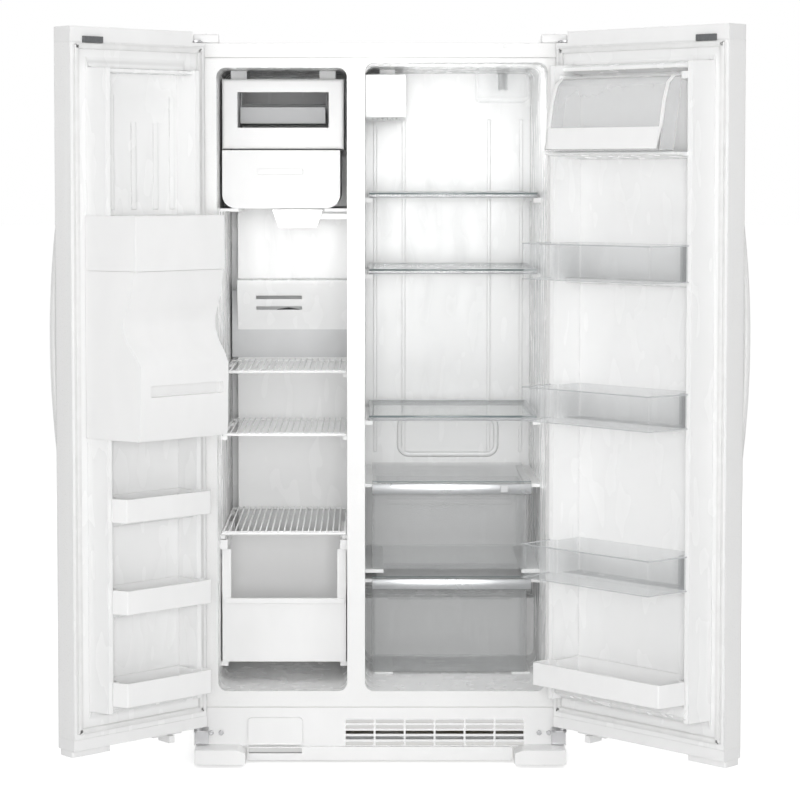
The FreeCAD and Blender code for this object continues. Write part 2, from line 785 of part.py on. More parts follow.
def auger():
    """A shaft with a wide thread, drawn as short paddles that each turn a little further."""
    pieces = [rod("y", ("-243", "ice_front + 4.3", "1402"), "417.5 - ice_front", "6")]
    for n in range(18):
        paddle = document.addObject("Part::Box", "paddle")
        paddle.Length, paddle.Width, paddle.Height = 68, 5, 10
        turn = FreeCAD.Rotation(AXES["y"], 30 * n)
        paddle.Placement = FreeCAD.Placement(FreeCAD.Vector(), turn)
        offset = turn.multVec(FreeCAD.Vector(-34, 0, -5))
        place(paddle, f"-243 + {offset.x:.4f}", f"ice_front + 28 + {n * 14}", f"1402 + {offset.z:.4f}")
        pieces.append(paddle)
    return fuse(*pieces)


node("ice_auger", auger())


def wire_shelf(front, back, level):
    """A welded rim with wires from front to back over it."""
    x = ("freezer_left + 6", "freezer_right - 6")
    rods = []
    for y in (front, back, f"({front}) + 26"):
        rods.append(rod("x", (f"{x[0]} - 3", y, level), f"{x[1]} - ({x[0]}) + 6", "rim_radius"))
    for edge in x:
        rods.append(rod("y", (edge, f"{front} - 2", level), f"({back}) - ({front}) + 4", "rim_radius - 0.5"))
    wires = 20
    for n in range(1, wires):
        at = f"{x[0]} + {n} * ({x[1]} - ({x[0]})) / {wires}"
        over = f"{level} + rim_radius + 0.9"
        rods.append(rod("y", (at, f"{front} - 2", over), f"({back}) - ({front}) + 4", "wire_radius"))
    return fuse(*rods)


wire_levels = [("941", "wire_front"), ("784", "wire_front"), ("547", "100")]
node("wire_shelves", *[wire_shelf(front, "wire_back", level) for level, front in wire_levels])

basket_x = ("freezer_left + 3.6", "freezer_right - 3.7")
basket = tray(basket_x, ("basket_front", "basket_back"), ("basket_low", "507"), "3")
window = box(
    (f"{basket_x[0]} + 22", f"{basket_x[1]} - 22"), ("basket_front - 9", "basket_back - 20"), (
        "basket_high", "520"
    )
)
side_windows = box(
    (f"{basket_x[0]} - 1", f"{basket_x[1]} + 1"), ("basket_front + 40", "basket_back - 40"), (
        "basket_high", "520"
    )
)
lip = box(
    (f"{basket_x[0]} + 4", f"{basket_x[1]} - 4"), ("basket_front - 5", "basket_front + 1"), (
        "basket_high - 13", "basket_high"
    )
)
bars = [
    box(
        (f"freezer_left + {x}", f"freezer_left + {x} + 12"), ("150", "380"),
        ("basket_low - 1", "basket_low + 5")
    )
    for x in range(40, 280, 28)
]
node("freezer_basket", cut(fuse(basket, lip), window, side_windows, *bars))

# ---------------------------------------------------------------- what the fridge holds

SHELF_LEVELS = ("1389", "1198", "830")
SHELF_X = ("fridge_left + 9", "fridge_right - 9")


def shelf_parts(top):
    """A pane let into the rebate of a moulded rim."""
    rim = box(SHELF_X, ("shelf_front", "shelf_back"), (f"{top} - shelf_rim", top))
    rim = soften(rim, "4", lambda edge: along("x")(edge) and edge.CenterOfMass.y < size("shelf_front") + 1)
    pane_x = (f"{SHELF_X[0]} + 8", f"{SHELF_X[1]} - 8")
    pane_y = ("shelf_front + 10", "shelf_back - 10")
    pane = box(pane_x, pane_y, (f"{top} - pane_thick", top))
    opening = box(
        (f"{pane_x[0]} + 5", f"{pane_x[1]} - 5"),
        (f"{pane_y[0]} + 5", f"{pane_y[1]} - 5"),
        (f"{top} - shelf_rim - 1", f"{top} + 1"),
    )
    return cut(rim, opening, pane), pane


shelves = [shelf_parts(top) for top in SHELF_LEVELS]
node("shelf_frames", *[rim for rim, _ in shelves])
node("glass_shelves", *[pane for _, pane in shelves])


def crisper_cover(top):
    """The lid that a drawer hangs under, with its fascia in front."""
    plate = box(
        ("crisper_left + 1", "crisper_right + 10"), ("shelf_front", "shelf_back"), (f"{top} - 5", top)
    )
    fascia = box(
        ("crisper_left + 1", "crisper_right + 10"), ("shelf_front", "shelf_front + 6"), (
            f"{top} - cover_height", top
        )
    )
    return soften(
        fuse(plate, fascia), "2",
        lambda edge: along("x")(edge) and edge.CenterOfMass.y < size("shelf_front") + 1
    )


COVER_TOPS = ("662", "421")
slider_slot = box(("300", "352"), ("shelf_front - 1", "shelf_front + 7"), ("643", "649"))
covers = [crisper_cover(top) for top in COVER_TOPS]
cover_back = box(("crisper_left", "crisper_right + 11"), ("hump_front - 4", "620"), ("390", "430"))
node("crisper_covers", cut(covers[0], slider_slot), cut(covers[1], cover_back))
slider_knob = soften(
    box(("303", "323"), ("shelf_front - 5", "shelf_front - 0.3"), ("638", "654")), "2", along("z")
)
slider_stem = box(("308", "318"), ("shelf_front - 1", "shelf_front + 9"), ("643.3", "648.7"))
slider_clip = box(("304", "322"), ("shelf_front + 6.3", "shelf_front + 9"), ("639", "653"))
node("humidity_slider", fuse(slider_knob, slider_stem, slider_clip))


def crisper(low, high, back):
    body = tray(
        ("crisper_left", "crisper_right"), ("shelf_front + 8", back), (low, high), "crisper_wall", "14"
    )
    grip = box(
        ("crisper_left + 40", "crisper_right - 40"), ("shelf_front", "shelf_front + 9"),
        (f"{high} - 22", f"{high} - 8")
    )
    return fuse(body, soften(grip, "3", along("x")))


node("upper_crisper", crisper("upper_crisper_low", "upper_crisper_high", "600"))
node("lower_crisper", crisper("lower_crisper_low", "lower_crisper_high", "hump_front - 10"))

control_shell = box(("fridge_left + 0.5", "64"), ("shelf_front", "shelf_back"), ("1575", "1683"))
control_shell = soften(control_shell, "10", lambda edge: edge.CenterOfMass.y < size("shelf_front") + 1)
control_hollow = box(("fridge_left + 5", "59"), ("shelf_front + 5", "shelf_back + 1"), ("1580", "1678"))
sensor_holes = [rod("x", ("50", f"{y}", "1640"), "20", "3.5") for y in (250, 290, 330)]
outlet_slots = [box((f"{x}", f"{x} + 5"), ("240", "420"), ("1570", "1585")) for x in range(-20, 50, 12)]
control_mount = box(("0", "40"), ("400", "500"), ("1682", "fridge_top"))
node("control_box", cut(fuse(control_shell, control_mount), control_hollow, *sensor_holes, *outlet_slots))
light_form = soften(
    box(("248", "379"), ("300", "430"), ("1618", "fridge_top")), "14",
    lambda edge: edge.CenterOfMass.z < 1619,
)
light_hollow = box(("252", "375"), ("304", "426"), ("1632", "fridge_top + 1"))
lamp_base = box(("300", "330"), ("350", "380"), ("1690", "fridge_top"))
lamp = rod("z", ("315", "365", "1650"), "42", "12")
node("light_cover", cut(light_form, light_hollow), fuse(lamp_base, lamp))

# ledges, runners and hooks moulded on the liners' walls
ledges = []
for level, front in wire_levels:
    for side, x in ((0, ("freezer_left", "freezer_left + 12")), (1, ("freezer_right - 12", "freezer_right"))):
        for y in (front, "wire_back - 40"):
            under = f"{level} - rim_radius - free_air"
            ledges.append(box(x, (f"({y}) + 6", f"({y}) + 34"), (f"{under} - 10", under)))
for x in (("freezer_left", "freezer_left + 46"), ("freezer_right - 56", "freezer_right")):
    ledges.append(box(x, ("ice_front + 8", "431"), ("ice_bin_low - 8", "ice_bin_low - free_air")))
ledges.append(box(FREEZER, ("431", "505"), ("ice_bin_low - 8", "ice_bin_low")))
for x in (("freezer_left", "freezer_left + 18"), ("freezer_right - 18", "freezer_right")):
    ledges.append(box(x, ("basket_front + 6", "basket_back"), ("basket_low - 12", "basket_low - free_air")))
    ledges.append(box(x, ("100", "basket_back + 10"), ("508", "532")))
for top in SHELF_LEVELS:
    under = f"{top} - shelf_rim - free_air"
    for x in (("fridge_left", "fridge_left + 18"), ("fridge_right - 18", "fridge_right")):
        ledges.append(box(x, ("shelf_front + 20", "shelf_front + 60"), (f"{under} - 12", under)))
        ledges.append(box(x, ("shelf_back - 60", "shelf_back"), (f"{under} - 12", under)))
for top, back in zip(COVER_TOPS, ("600", "hump_front - 12")):
    for x in (("fridge_left", "crisper_left + 12"), ("crisper_right - 6", "fridge_right")):
        under = f"{top} - 5 - free_air"
        ledges.append(box(x, ("shelf_front + 8", back), (f"{under} - 8", under)))
for low, back in (("upper_crisper_low", "600"), ("lower_crisper_low", "hump_front - 12")):
    top = f"{low} - free_air"
    upper = "upper" in low
    reach = ("0", "46") if upper else ("(corner_round + 2)", "70")
    for x in (
        (f"fridge_left + {reach[0]}", f"fridge_left + {reach[1]}"),
        (f"fridge_right - {reach[1]}", f"fridge_right - {reach[0]}")
    ):
        ledges.append(
            box(x, ("shelf_front + 10", back), (f"{top} - 9", top) if upper else ("floor_level", top))
        )
node("interior_rails", *ledges)

for name, side in (("freezer_switch", -1), ("fridge_switch", 1)):
    node(name, rod("y", (f"{side} * switch_x", "-switch_proud", switch_at), "24", "switch_radius"))

# ---------------------------------------------------------------- the doors

BODY_Z = ("door_bottom + low_cap_height", "door_top - cap_height")


def door_block(door, inset, z, depth=("0", "0")):
    """A door's full width and thickness, rounded on its outer upright edges."""
    block = door.box(
        (inset, f"{door.width} - {inset}"), (f"{inset} - door_thick", f"{depth[0]}"), z
    )
    face = size(door.y(f"{inset} - door_thick"))
    return soften(
        block, f"door_round - {inset}", lambda edge: along("z")(edge) and abs(
            edge.CenterOfMass.y - face
        ) < 0.1
    )


def dike_form(door, outline, inset):
    """The raised ring of a door's liner, its ends sloped to enter the compartment, drawn in by an inset."""
    corners = [(f"{a} + {inset} * {turn}", f"{n} - {inset}") for a, n, turn in outline]
    start = "-plastic - 1" if inset == "plastic" else "-1"
    corners[0] = (corners[0][0], start)
    corners[-1] = (corners[-1][0], start)
    low, high = f"floor_level + dike_air + {inset}", f"{door.name}_top - dike_air - {inset}"
    ends = [
        (start, f"liner_low + {inset}"), ("0", f"liner_low + {inset}"),
        ("door_gap - 2", low), ("fridge_dike + 2", f"{low} + 3"),
        ("fridge_dike + 2", f"{high} - 3"), ("door_gap - 2", high),
        ("0", f"liner_high - {inset}"), (start, f"liner_high - {inset}"),
    ]
    form = document.addObject("Part::MultiCommon", "dike_form")
    form.Shapes = [
        door.upright(corners, (f"liner_low + {inset}", f"liner_high - {inset}")),
        door.level(ends, ("0", door.width)),
    ]
    return form


def dikes(door, hinge, hinge_reach, free, free_reach):
    edge = f"({door.width} - {free})"
    return [
        (f"{hinge} - 2", "0", 1),
        (hinge, hinge_reach, 1),
        (f"{hinge} + 14", hinge_reach, -1),
        (f"{hinge} + 26", "recess", -1),
        (f"{edge} - 24", "recess", 1),
        (f"{edge} - 14", free_reach, 1),
        (edge, free_reach, -1),
        (f"{edge} + 9", "0", -1),
    ]


def build_door(door, outline, ledges, holes, bores=()):
    """The skin, foam core, liner, caps, gasket, bumper and handle that both doors share."""
    width = door.width
    skin = cut(door_block(door, "0", BODY_Z), door_block(door, "sheet", BODY_Z, ("1", "0")))
    plate = door.box(("sheet", f"{width} - sheet"), ("-plastic", "0"), BODY_Z)
    core = dike_form(door, outline, "plastic")
    shape = dike_form(door, outline, "0")
    solid_ledges = [door.level(line, across) for line, across in ledges]
    liner = fuse(plate, cut(shape, core), *solid_ledges)
    slab = door_block(door, "sheet", BODY_Z, ("-plastic", "0"))
    foam_core = cut(core, door.box(("0", width), ("-20", "-plastic"), ("0", "case_top")))
    door.node(f"{door.name}_door_skin", cut(skin, *holes) if holes else skin)
    # the foam stops at the liner's plate and fills the ring behind it
    door.node(f"{door.name}_door_foam", cut(slab, *holes) if holes else slab)
    opened = cut(liner, *holes, *bores)
    door.node(f"{door.name}_door_liner", opened)

    top = door_block(door, "0", ("door_top - cap_height", "door_top"))
    notch = door.box(("-1", "36"), ("-door_thick - 1", "1"), ("case_top - 2", "door_top + 1"))
    pin_hole = rod("z", ("0", "0", "case_top - 9.4"), "20", "pin_radius + bore_air")
    bottom = door_block(door, "0", ("door_bottom", "door_bottom + low_cap_height"))
    low_hole = rod("z", ("0", "0", "door_bottom - 1"), "26", "pin_radius + bore_air")
    foot = door.box(
        (f"{width} - 112", f"{width} - 3"), ("-62", "-10"), ("door_bottom - 16", "door_bottom + 1")
    )
    stop = door.box(("64", "150"), ("-52", "-16"), ("door_bottom - 8", "door_bottom + 1"))
    stop_bar = door.box(("96", "112"), ("-48", "-4"), ("door_bottom - 24", "door_bottom - 7"))
    low_cap = cut(fuse(bottom, soften(foot, "5", along("z")), stop, stop_bar), low_hole)
    door.node(f"{door.name}_door_caps", cut(top, notch, pin_hole), low_cap)

    ring = (("hinge_margin", f"{width} - gasket_margin"), ("0", "door_gap - free_air"))
    inner = (("hinge_margin + gasket_width", f"{width} - gasket_margin - gasket_width"), ("-1", "door_gap"))
    seal = cut(
        door.box(*ring, ("gasket_low", "gasket_high")),
        door.box(*inner, ("gasket_low + gasket_width", "gasket_high - gasket_width")),
    )
    bumper = door.box((f"{width} - 90", f"{width} - 34"), ("0", "6"), ("gasket_high + 1", "gasket_high + 16"))
    door.node(f"{door.name}_door_gasket", seal, bumper)

    door.node(f"{door.name}_handle", bow_handle(door))


def bow_handle(door):
    """A bow between two wide arcs, standing on the door's outer face at its ends."""
    face = size(door.y("-door_thick"))
    low, high, reach = size("handle_low"), size("handle_high"), size("handle_reach")
    inner, middle = size("handle_reach - handle_thick"), size("(handle_low + handle_high) / 2")
    post = size("handle_post")
    left = size(door.span((f"{door.width} - handle_inset - handle_width", f"{door.width} - handle_inset"))[0])

    def arc(*corners):
        return Part.Arc(*[FreeCAD.Vector(left, y, z) for y, z in corners]).toShape()

    def line(*corners):
        return Part.makeLine(*[FreeCAD.Vector(left, y, z) for y, z in corners])

    edges = [
        arc((face, low), (face - reach, middle), (face, high)),
        line((face, high), (face, high - post)),
        arc((face, high - post), (face - inner, middle), (face, low + post)),
        line((face, low + post), (face, low)),
    ]
    solid = Part.Face(Part.Wire(edges)).extrude(FreeCAD.Vector(size("handle_width"), 0, 0))
    grip = document.addObject("Part::Feature", "grip")
    grip.Shape = solid
    return grip


well_hole = freezer_door.box(
    ("well_left - plastic", "well_right + plastic"), ("-door_thick - 1", "well_depth - door_thick + plastic"),
    ("well_low - plastic", "well_high + plastic"),
)
DUCT = (("160", "230"), ("-58", "-plastic"), ("well_high", "well_high + 60"))
duct_hole = freezer_door.box(DUCT[0], ("-58", "recess + 1"), DUCT[2])
slot_hole = freezer_door.box(("140", "240"), ("-door_thick - 1", "-60"), ("well_high + 62", "well_high + 72"))
freezer_dikes = dikes(freezer_door, "66", "freezer_dike", "52", "freezer_dike")
fridge_dikes = dikes(fridge_door, "60", "fridge_dike", "47", "fridge_free_dike")
freezer_ledges = [
    (
        [
            ("0", "freezer_top - 22"), ("0", "freezer_top"), ("door_gap - 2", "freezer_top - dike_air"),
            ("55", "freezer_top - dike_air - 4"), ("55", "freezer_top - 22"),
        ],
        ("70", "336"),
    ),
    (
        [
            ("0", "floor_level + 28"), ("50", "floor_level + 24"), ("56", "floor_level + 17"),
            ("50", "floor_level + 12"), ("door_gap - 2", "floor_level + dike_air"), ("0", "floor_level"),
        ],
        ("70", "336"),
    ),
]
freezer_ledges += [
    (
        [
            ("8", f"{low} - 20"), ("8", f"{low} - free_air"), ("62", f"{low} - free_air"),
            ("54", f"{low} - 12")
        ],
        ("76", "334")
    )
    for low in (635, 422, 207)
]
freezer_ledges += [
    ([("9", "1352"), ("9", f"{top}"), ("12.5", f"{top} - 8"), ("12.5", "1354")], (f"{a}", f"{a} + 14"))
    for a, top in ((102, 1622), (150, 1560), (214, 1560), (278, 1622))
]
fridge_ledges = [
    (
        [
            ("0", "fridge_top - 35"), ("0", "fridge_top"), ("door_gap - 2", "fridge_top - dike_air"),
            ("40", "fridge_top - dike_air - 4"), ("64", "fridge_top - 18"), ("64", "fridge_top - 27"),
        ],
        ("66", "457"),
    ),
    ([("8", "1470"), ("8", "1486"), ("118", "1486"), ("118", "1480")], ("70", "452")),
    (
        [("8", "floor_level + 9"), ("8", "228"), ("66", "228"), ("84", "206"), ("60", "floor_level + 13")],
        ("66", "455"),
    ),
]
fridge_ledges += [
    (
        [
            ("8", f"{low} - 14"), ("8", f"{low} - free_air"), ("60", f"{low} - free_air"),
            ("50", f"{low} - 10")
        ],
        ("80", "445")
    )
    for low in (1191, 860, 491)
]
build_door(freezer_door, freezer_dikes, freezer_ledges, [well_hole, duct_hole, slot_hole])
lid_ear = [("8", "1640"), ("8", "1667"), ("74", "1667"), ("74", "1650")]
fridge_ledges += [(lid_ear, span) for span in (("76", "90"), ("433", "450"))]
LID_PIN = ("66", "1657")
lid_bore = rod(
    "x", (fridge_door.span(("82", "441"))[0], fridge_door.y(LID_PIN[0]), LID_PIN[1]), "359", "3 + bore_air"
)
build_door(fridge_door, fridge_dikes, fridge_ledges, [], [lid_bore])


def door_bin(door, hinge, free, dike, free_dike, reach, z):
    """An open bin that hooks over both dikes and reaches past them."""
    edge = f"({door.width} - {free})"

    def outline(inset):
        return [
            (f"{hinge} + 28 + {inset}", f"recess + 2 + {inset}"),
            (f"{hinge} + 28 + {inset}", f"{dike} + free_air + {inset}"),
            (f"{hinge} + 2 + {inset}", f"{dike} + free_air + {inset}"),
            (f"{hinge} + 2 + {inset}", f"{reach} - {inset}"),
            (f"{edge} - 25 - {inset}", f"{reach} - {inset}"),
            (f"{edge} - 6 - {inset}", f"{free_dike} + free_air + {inset}"),
            (f"{edge} - 27 - {inset}", f"{free_dike} + free_air + {inset}"),
            (f"{edge} - 27 - {inset}", f"recess + 2 + {inset}"),
        ]

    outer = soften(door.upright(outline("0"), z), "5", along("z"))
    inner = soften(door.upright(outline("bin_wall"), (f"{z[0]} + bin_wall", f"{z[1]} + 1")), "3", along("z"))
    return cut(outer, inner)


freezer_rack = ("66", "52", "freezer_dike", "freezer_dike", "freezer_bin_reach")
freezer_levels = [("635", "689"), ("422", "477"), ("207", "262")]
freezer_door.node("freezer_bins", *[door_bin(freezer_door, *freezer_rack, z) for z in freezer_levels])
fridge_rack = ("60", "47", "fridge_dike", "fridge_free_dike")
clear_levels = [("1191", "1275"), ("860", "940"), ("491", "571")]
fridge_door.node(
    "door_bins", *[door_bin(fridge_door, *fridge_rack, "clear_bin_reach", z) for z in clear_levels]
)
fridge_door.node("bottom_bin", door_bin(fridge_door, *fridge_rack, "low_bin_reach", ("232", "285")))

lid_line = [
    ("66", "1660"), ("92", "1656"), ("112", "1640"), ("126", "1600"), ("138", "1540"), ("146", "1492"),
    ("152", "1488.5")
]
lid_sheet = [(f"{n} - 3", f"{z} - 2") for n, z in lid_line[:-1]] + [("143", "1488.5")]
lid_x = ("93", "430")
lid = fridge_door.level(lid_line + lid_sheet[::-1], lid_x)
cheek = [
    ("66", "1656"), ("92", "1652"), ("111", "1636"), ("123", "1598"), ("135", "1540"), ("143", "1490"),
    ("96", "1490")
]
cheeks = [fridge_door.level(cheek, span) for span in (("93", "95.5"), ("427.5", "430"))]
lid_pin = rod("x", (fridge_door.span(("83", "440"))[0], fridge_door.y(LID_PIN[0]), LID_PIN[1]), "357", "3")
fridge_door.node("dairy_cover", fuse(lid, *cheeks, lid_pin))

# ---------------------------------------------------------------- the ice and water dispenser

HOUSING = [
    ("93", "recess + free_air"), ("93", "freezer_dike + 0.5"),
    ("housing_hinge_side", "freezer_dike + 0.5"), ("housing_hinge_side", "housing_reach"),
    ("318", "housing_reach"), ("344", "freezer_dike + 0.5"), ("353", "1"), ("350", "1"),
    ("341.2", "freezer_dike + 0.5"), ("313", "freezer_dike + 0.5"), ("313", "recess + free_air"),
]
CAVITY = [
    ("96", "recess - 1"), ("96", "freezer_dike + 3.5"),
    ("housing_hinge_side + 3", "freezer_dike + 3.5"), ("housing_hinge_side + 3", "housing_reach - 3"),
    ("316", "housing_reach - 3"), ("338", "freezer_dike + 3.5"), ("310", "freezer_dike + 3.5"),
    ("310", "recess - 1"),
]


def waist(inset):
    """The lower housing's front from the side: full at the tray, drawn in at the waist, less full above."""
    return [
        ("0.5", f"housing_low + {inset}"),
        (f"housing_reach - 7 - {inset}", f"housing_low + {inset}"),
        (f"housing_reach - 2 - {inset}", f"housing_low + 14 + {inset}"),
        (f"housing_reach - {inset}", "996"),
        (f"housing_reach - 12 - {inset}", "1018"),
        (f"housing_reach - 36 - {inset}", "1048"),
        (f"housing_reach - 48 - {inset}", "1074"),
        (f"housing_reach - 49 - {inset}", "1100"),
        (f"housing_reach - 40 - {inset}", "1124"),
        (f"housing_reach - 30 - {inset}", "1148"),
        (f"housing_reach - 24 - {inset}", "1176"),
        (f"housing_reach - 18 - {inset}", "housing_split - 0.5"),
        ("0.5", "housing_split - 0.5"),
    ]


def waisted(outline, inset, low, high):
    """The part of an upright outline that the waisted front leaves."""
    form = document.addObject("Part::MultiCommon", "waisted")
    form.Shapes = [
        freezer_door.upright(outline, (low, high)), freezer_door.level(waist(inset), ("50", "356")),
    ]
    return form


lower_out = waisted(HOUSING, "0", "housing_low", "housing_split - 0.5")
lower_in = waisted(CAVITY, "3", "housing_low + 3", "housing_split")
lower_housing = cut(lower_out, lower_in)
crown = freezer_door.upright(HOUSING, ("housing_split", "housing_high"))
ahead = freezer_door.box(
    ("50", "350"), ("housing_reach - 14", "housing_reach + 1"), ("housing_split - 1", "housing_high + 1")
)
crown = cut(crown, ahead)
crown_space = cut(
    freezer_door.upright(CAVITY, ("housing_split - 1", "housing_high - 3")),
    freezer_door.box(
        ("50", "350"), ("housing_reach - 17", "housing_reach + 1"), ("1100", "housing_high + 1")
    ),
)
upper_housing = cut(crown, crown_space)
chute_mouth = freezer_door.box(("160", "230"), ("92", "150"), ("housing_high - 6", "housing_high + 1"))
tank = freezer_door.box(("110", "300"), ("30", "140"), ("housing_low + 3", "880"))
tray_slot = freezer_door.box(("78", "288"), ("housing_reach - 14", "housing_reach + 1"), ("926", "952"))
slot_floor = freezer_door.box(("74", "292"), ("housing_reach - 17", "housing_reach - 3"), ("923", "955"))
freezer_door.node(
    "dispenser_housing", cut(
        fuse(lower_housing, slot_floor), tray_slot
    ), cut(upper_housing, chute_mouth), tank
)

bezel = soften(
    freezer_door.box(
        ("well_left - panel_margin", "well_right + panel_margin"), ("-door_thick - 3", "-door_thick"),
        ("well_low - panel_low_margin", "well_high + panel_high_margin"),
    ),
    "12",
    along("y"),
)
well_shell = freezer_door.box(
    ("well_left - plastic", "well_right + plastic"), (
        "-door_thick - 0.5", "well_depth - door_thick + plastic"
    ),
    ("well_low - plastic", "well_high + plastic"),
)
well = freezer_door.box(
    ("well_left", "well_right"), ("-door_thick - 9", "well_depth - door_thick"), ("well_low", "well_high")
)
duct_shell = freezer_door.box(*DUCT)
duct = freezer_door.box(("162", "228"), ("-56", "0"), ("well_high - 1", "well_high + 58"))
knob_slot = freezer_door.box(
    ("142", "238"), ("-door_thick - 4", "-door_thick + 1"), ("well_high + 64", "well_high + 70")
)
pivot = ("well_high - 12", "-44")
paddle_ears = [
    freezer_door.box(
        (f"{a}", f"{a} + 5"), ("-50", "well_depth - door_thick + 1"), ("well_high - 20", "well_high + 1")
    )
    for a in (156, 229)
]
pivot_hole = rod("x", (freezer_door.x("156"), freezer_door.y(pivot[1]), pivot[0]), "80", "3 + bore_air")
panel = cut(fuse(bezel, well_shell, duct_shell), well, duct, knob_slot)
drip_tray = cut(
    freezer_door.box(
        ("well_left + 3", "well_right - 3"), ("-door_thick + 4", "well_depth - door_thick - 3"),
        ("well_low", "well_low + 11")
    ),
    *[
        freezer_door.box((f"{a}", f"{a} + 6"), ("-60", "-22"), ("well_low + 4", "well_low + 12"))
        for a in range(116, 274, 12)
    ],
)
node_ears = cut(fuse(*paddle_ears), pivot_hole)
freezer_door.node("dispenser_panel", fuse(panel, node_ears), drip_tray)

paddle_plate = freezer_door.box(("166", "224"), ("-46", "-42"), ("well_high - 160", "well_high - 12"))
paddle_pin = rod("x", (freezer_door.x("157"), freezer_door.y(pivot[1]), pivot[0]), "76", "3")
freezer_door.node("dispenser_paddle", fuse(paddle_plate, paddle_pin))
flap_plate = freezer_door.box(("163", "227"), ("-11", "-8"), ("well_high + 3", "well_high + 53"))
flap_pin = rod("x", (freezer_door.x("162.5"), freezer_door.y("-9.5"), "well_high + 53"), "65", "2.5")
freezer_door.node("ice_flap", fuse(flap_plate, flap_pin))
knob = freezer_door.box(
    ("146", "170"), ("-door_thick - 11", "-door_thick - 3.3"), ("well_high + 58", "well_high + 72")
)
stem = freezer_door.box(
    ("152", "164"), ("-door_thick - 4", "-door_thick + 4"), ("well_high + 64.3", "well_high + 69.7")
)
freezer_door.node("selector_slide", fuse(soften(knob, "3", along("y")), stem))

# ---------------------------------------------------------------- checks, then one file each

document.recompute()
faults = [thing.Name for thing in document.Objects if {"Invalid", "Error"} & set(thing.State)]
for part in subparts:
    if part.Shape.isNull() or not part.Shape.isValid() or not part.Shape.Solids:
        faults.append(part.Label)
if faults:
    raise RuntimeError(f"these objects failed: {faults}")
os.makedirs("parts", exist_ok=True)
for part in subparts:
    part.Shape.exportStep(f"parts/{part.Label}.step")
    print(part.Label, len(part.Shape.Solids), "solids")
print(len(subparts), "sub-parts")
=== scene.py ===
import bpy
import bmesh
import math
from mathutils import Matrix, Vector


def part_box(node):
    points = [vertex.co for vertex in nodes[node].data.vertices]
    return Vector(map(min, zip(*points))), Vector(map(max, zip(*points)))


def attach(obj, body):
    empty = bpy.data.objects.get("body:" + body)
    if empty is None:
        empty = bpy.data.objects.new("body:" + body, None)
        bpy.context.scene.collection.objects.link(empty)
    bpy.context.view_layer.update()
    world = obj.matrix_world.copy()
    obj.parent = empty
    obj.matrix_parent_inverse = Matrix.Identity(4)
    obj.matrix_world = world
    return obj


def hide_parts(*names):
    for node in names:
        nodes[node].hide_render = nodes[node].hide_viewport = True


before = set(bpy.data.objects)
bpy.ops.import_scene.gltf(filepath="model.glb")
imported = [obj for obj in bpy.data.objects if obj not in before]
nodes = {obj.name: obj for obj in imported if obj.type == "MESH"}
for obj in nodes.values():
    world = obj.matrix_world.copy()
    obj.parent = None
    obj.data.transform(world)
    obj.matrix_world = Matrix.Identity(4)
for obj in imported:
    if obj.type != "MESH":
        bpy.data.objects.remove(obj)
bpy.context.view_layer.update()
print("frame loaded:", len(nodes), "nodes")


# studio and camera

studio = {
    "cameraPlace": (-0.06315, -5.9765, 1.44),
    "cameraTilt": 2.93,
    "lens": 108.9,
    "shift": (0.0376, -0.13),
    "lamps": [
        # name, place, size, watts
        ("keyLamp", (-2.6, -4.4, 3.1), 2.6, 34),
        ("fillLamp", (2.9, -4.6, 2.4), 2.6, 26),
        ("frontLamp", (0.0, -5.4, 1.3), 1.6, 95),
        ("topLamp", (0.0, -1.2, 4.6), 3.2, 20),
        ("backLamp", (0.6, 4.4, 2.6), 3.2, 40),
    ],
    "roomLamps": [  # the lights in the two compartments: place, width, watts
        ("freezerLamp", (-0.276, -0.07, 1.28), 0.2, 0.42),
        ("fridgeLamp", (0.145, -0.07, 1.66), 0.34, 0.8),
        ("drawerLamp", (0.145, -0.10, 0.78), 0.34, 0.3),
        ("basketLamp", (-0.276, -0.10, 0.74), 0.2, 0.2),
    ],
    "aim": (0, 0, 0.95),
    "roomLight": 0.42,
    "floorColour": (0.93, 0.93, 0.93),
    "floorLift": 0.6,
}


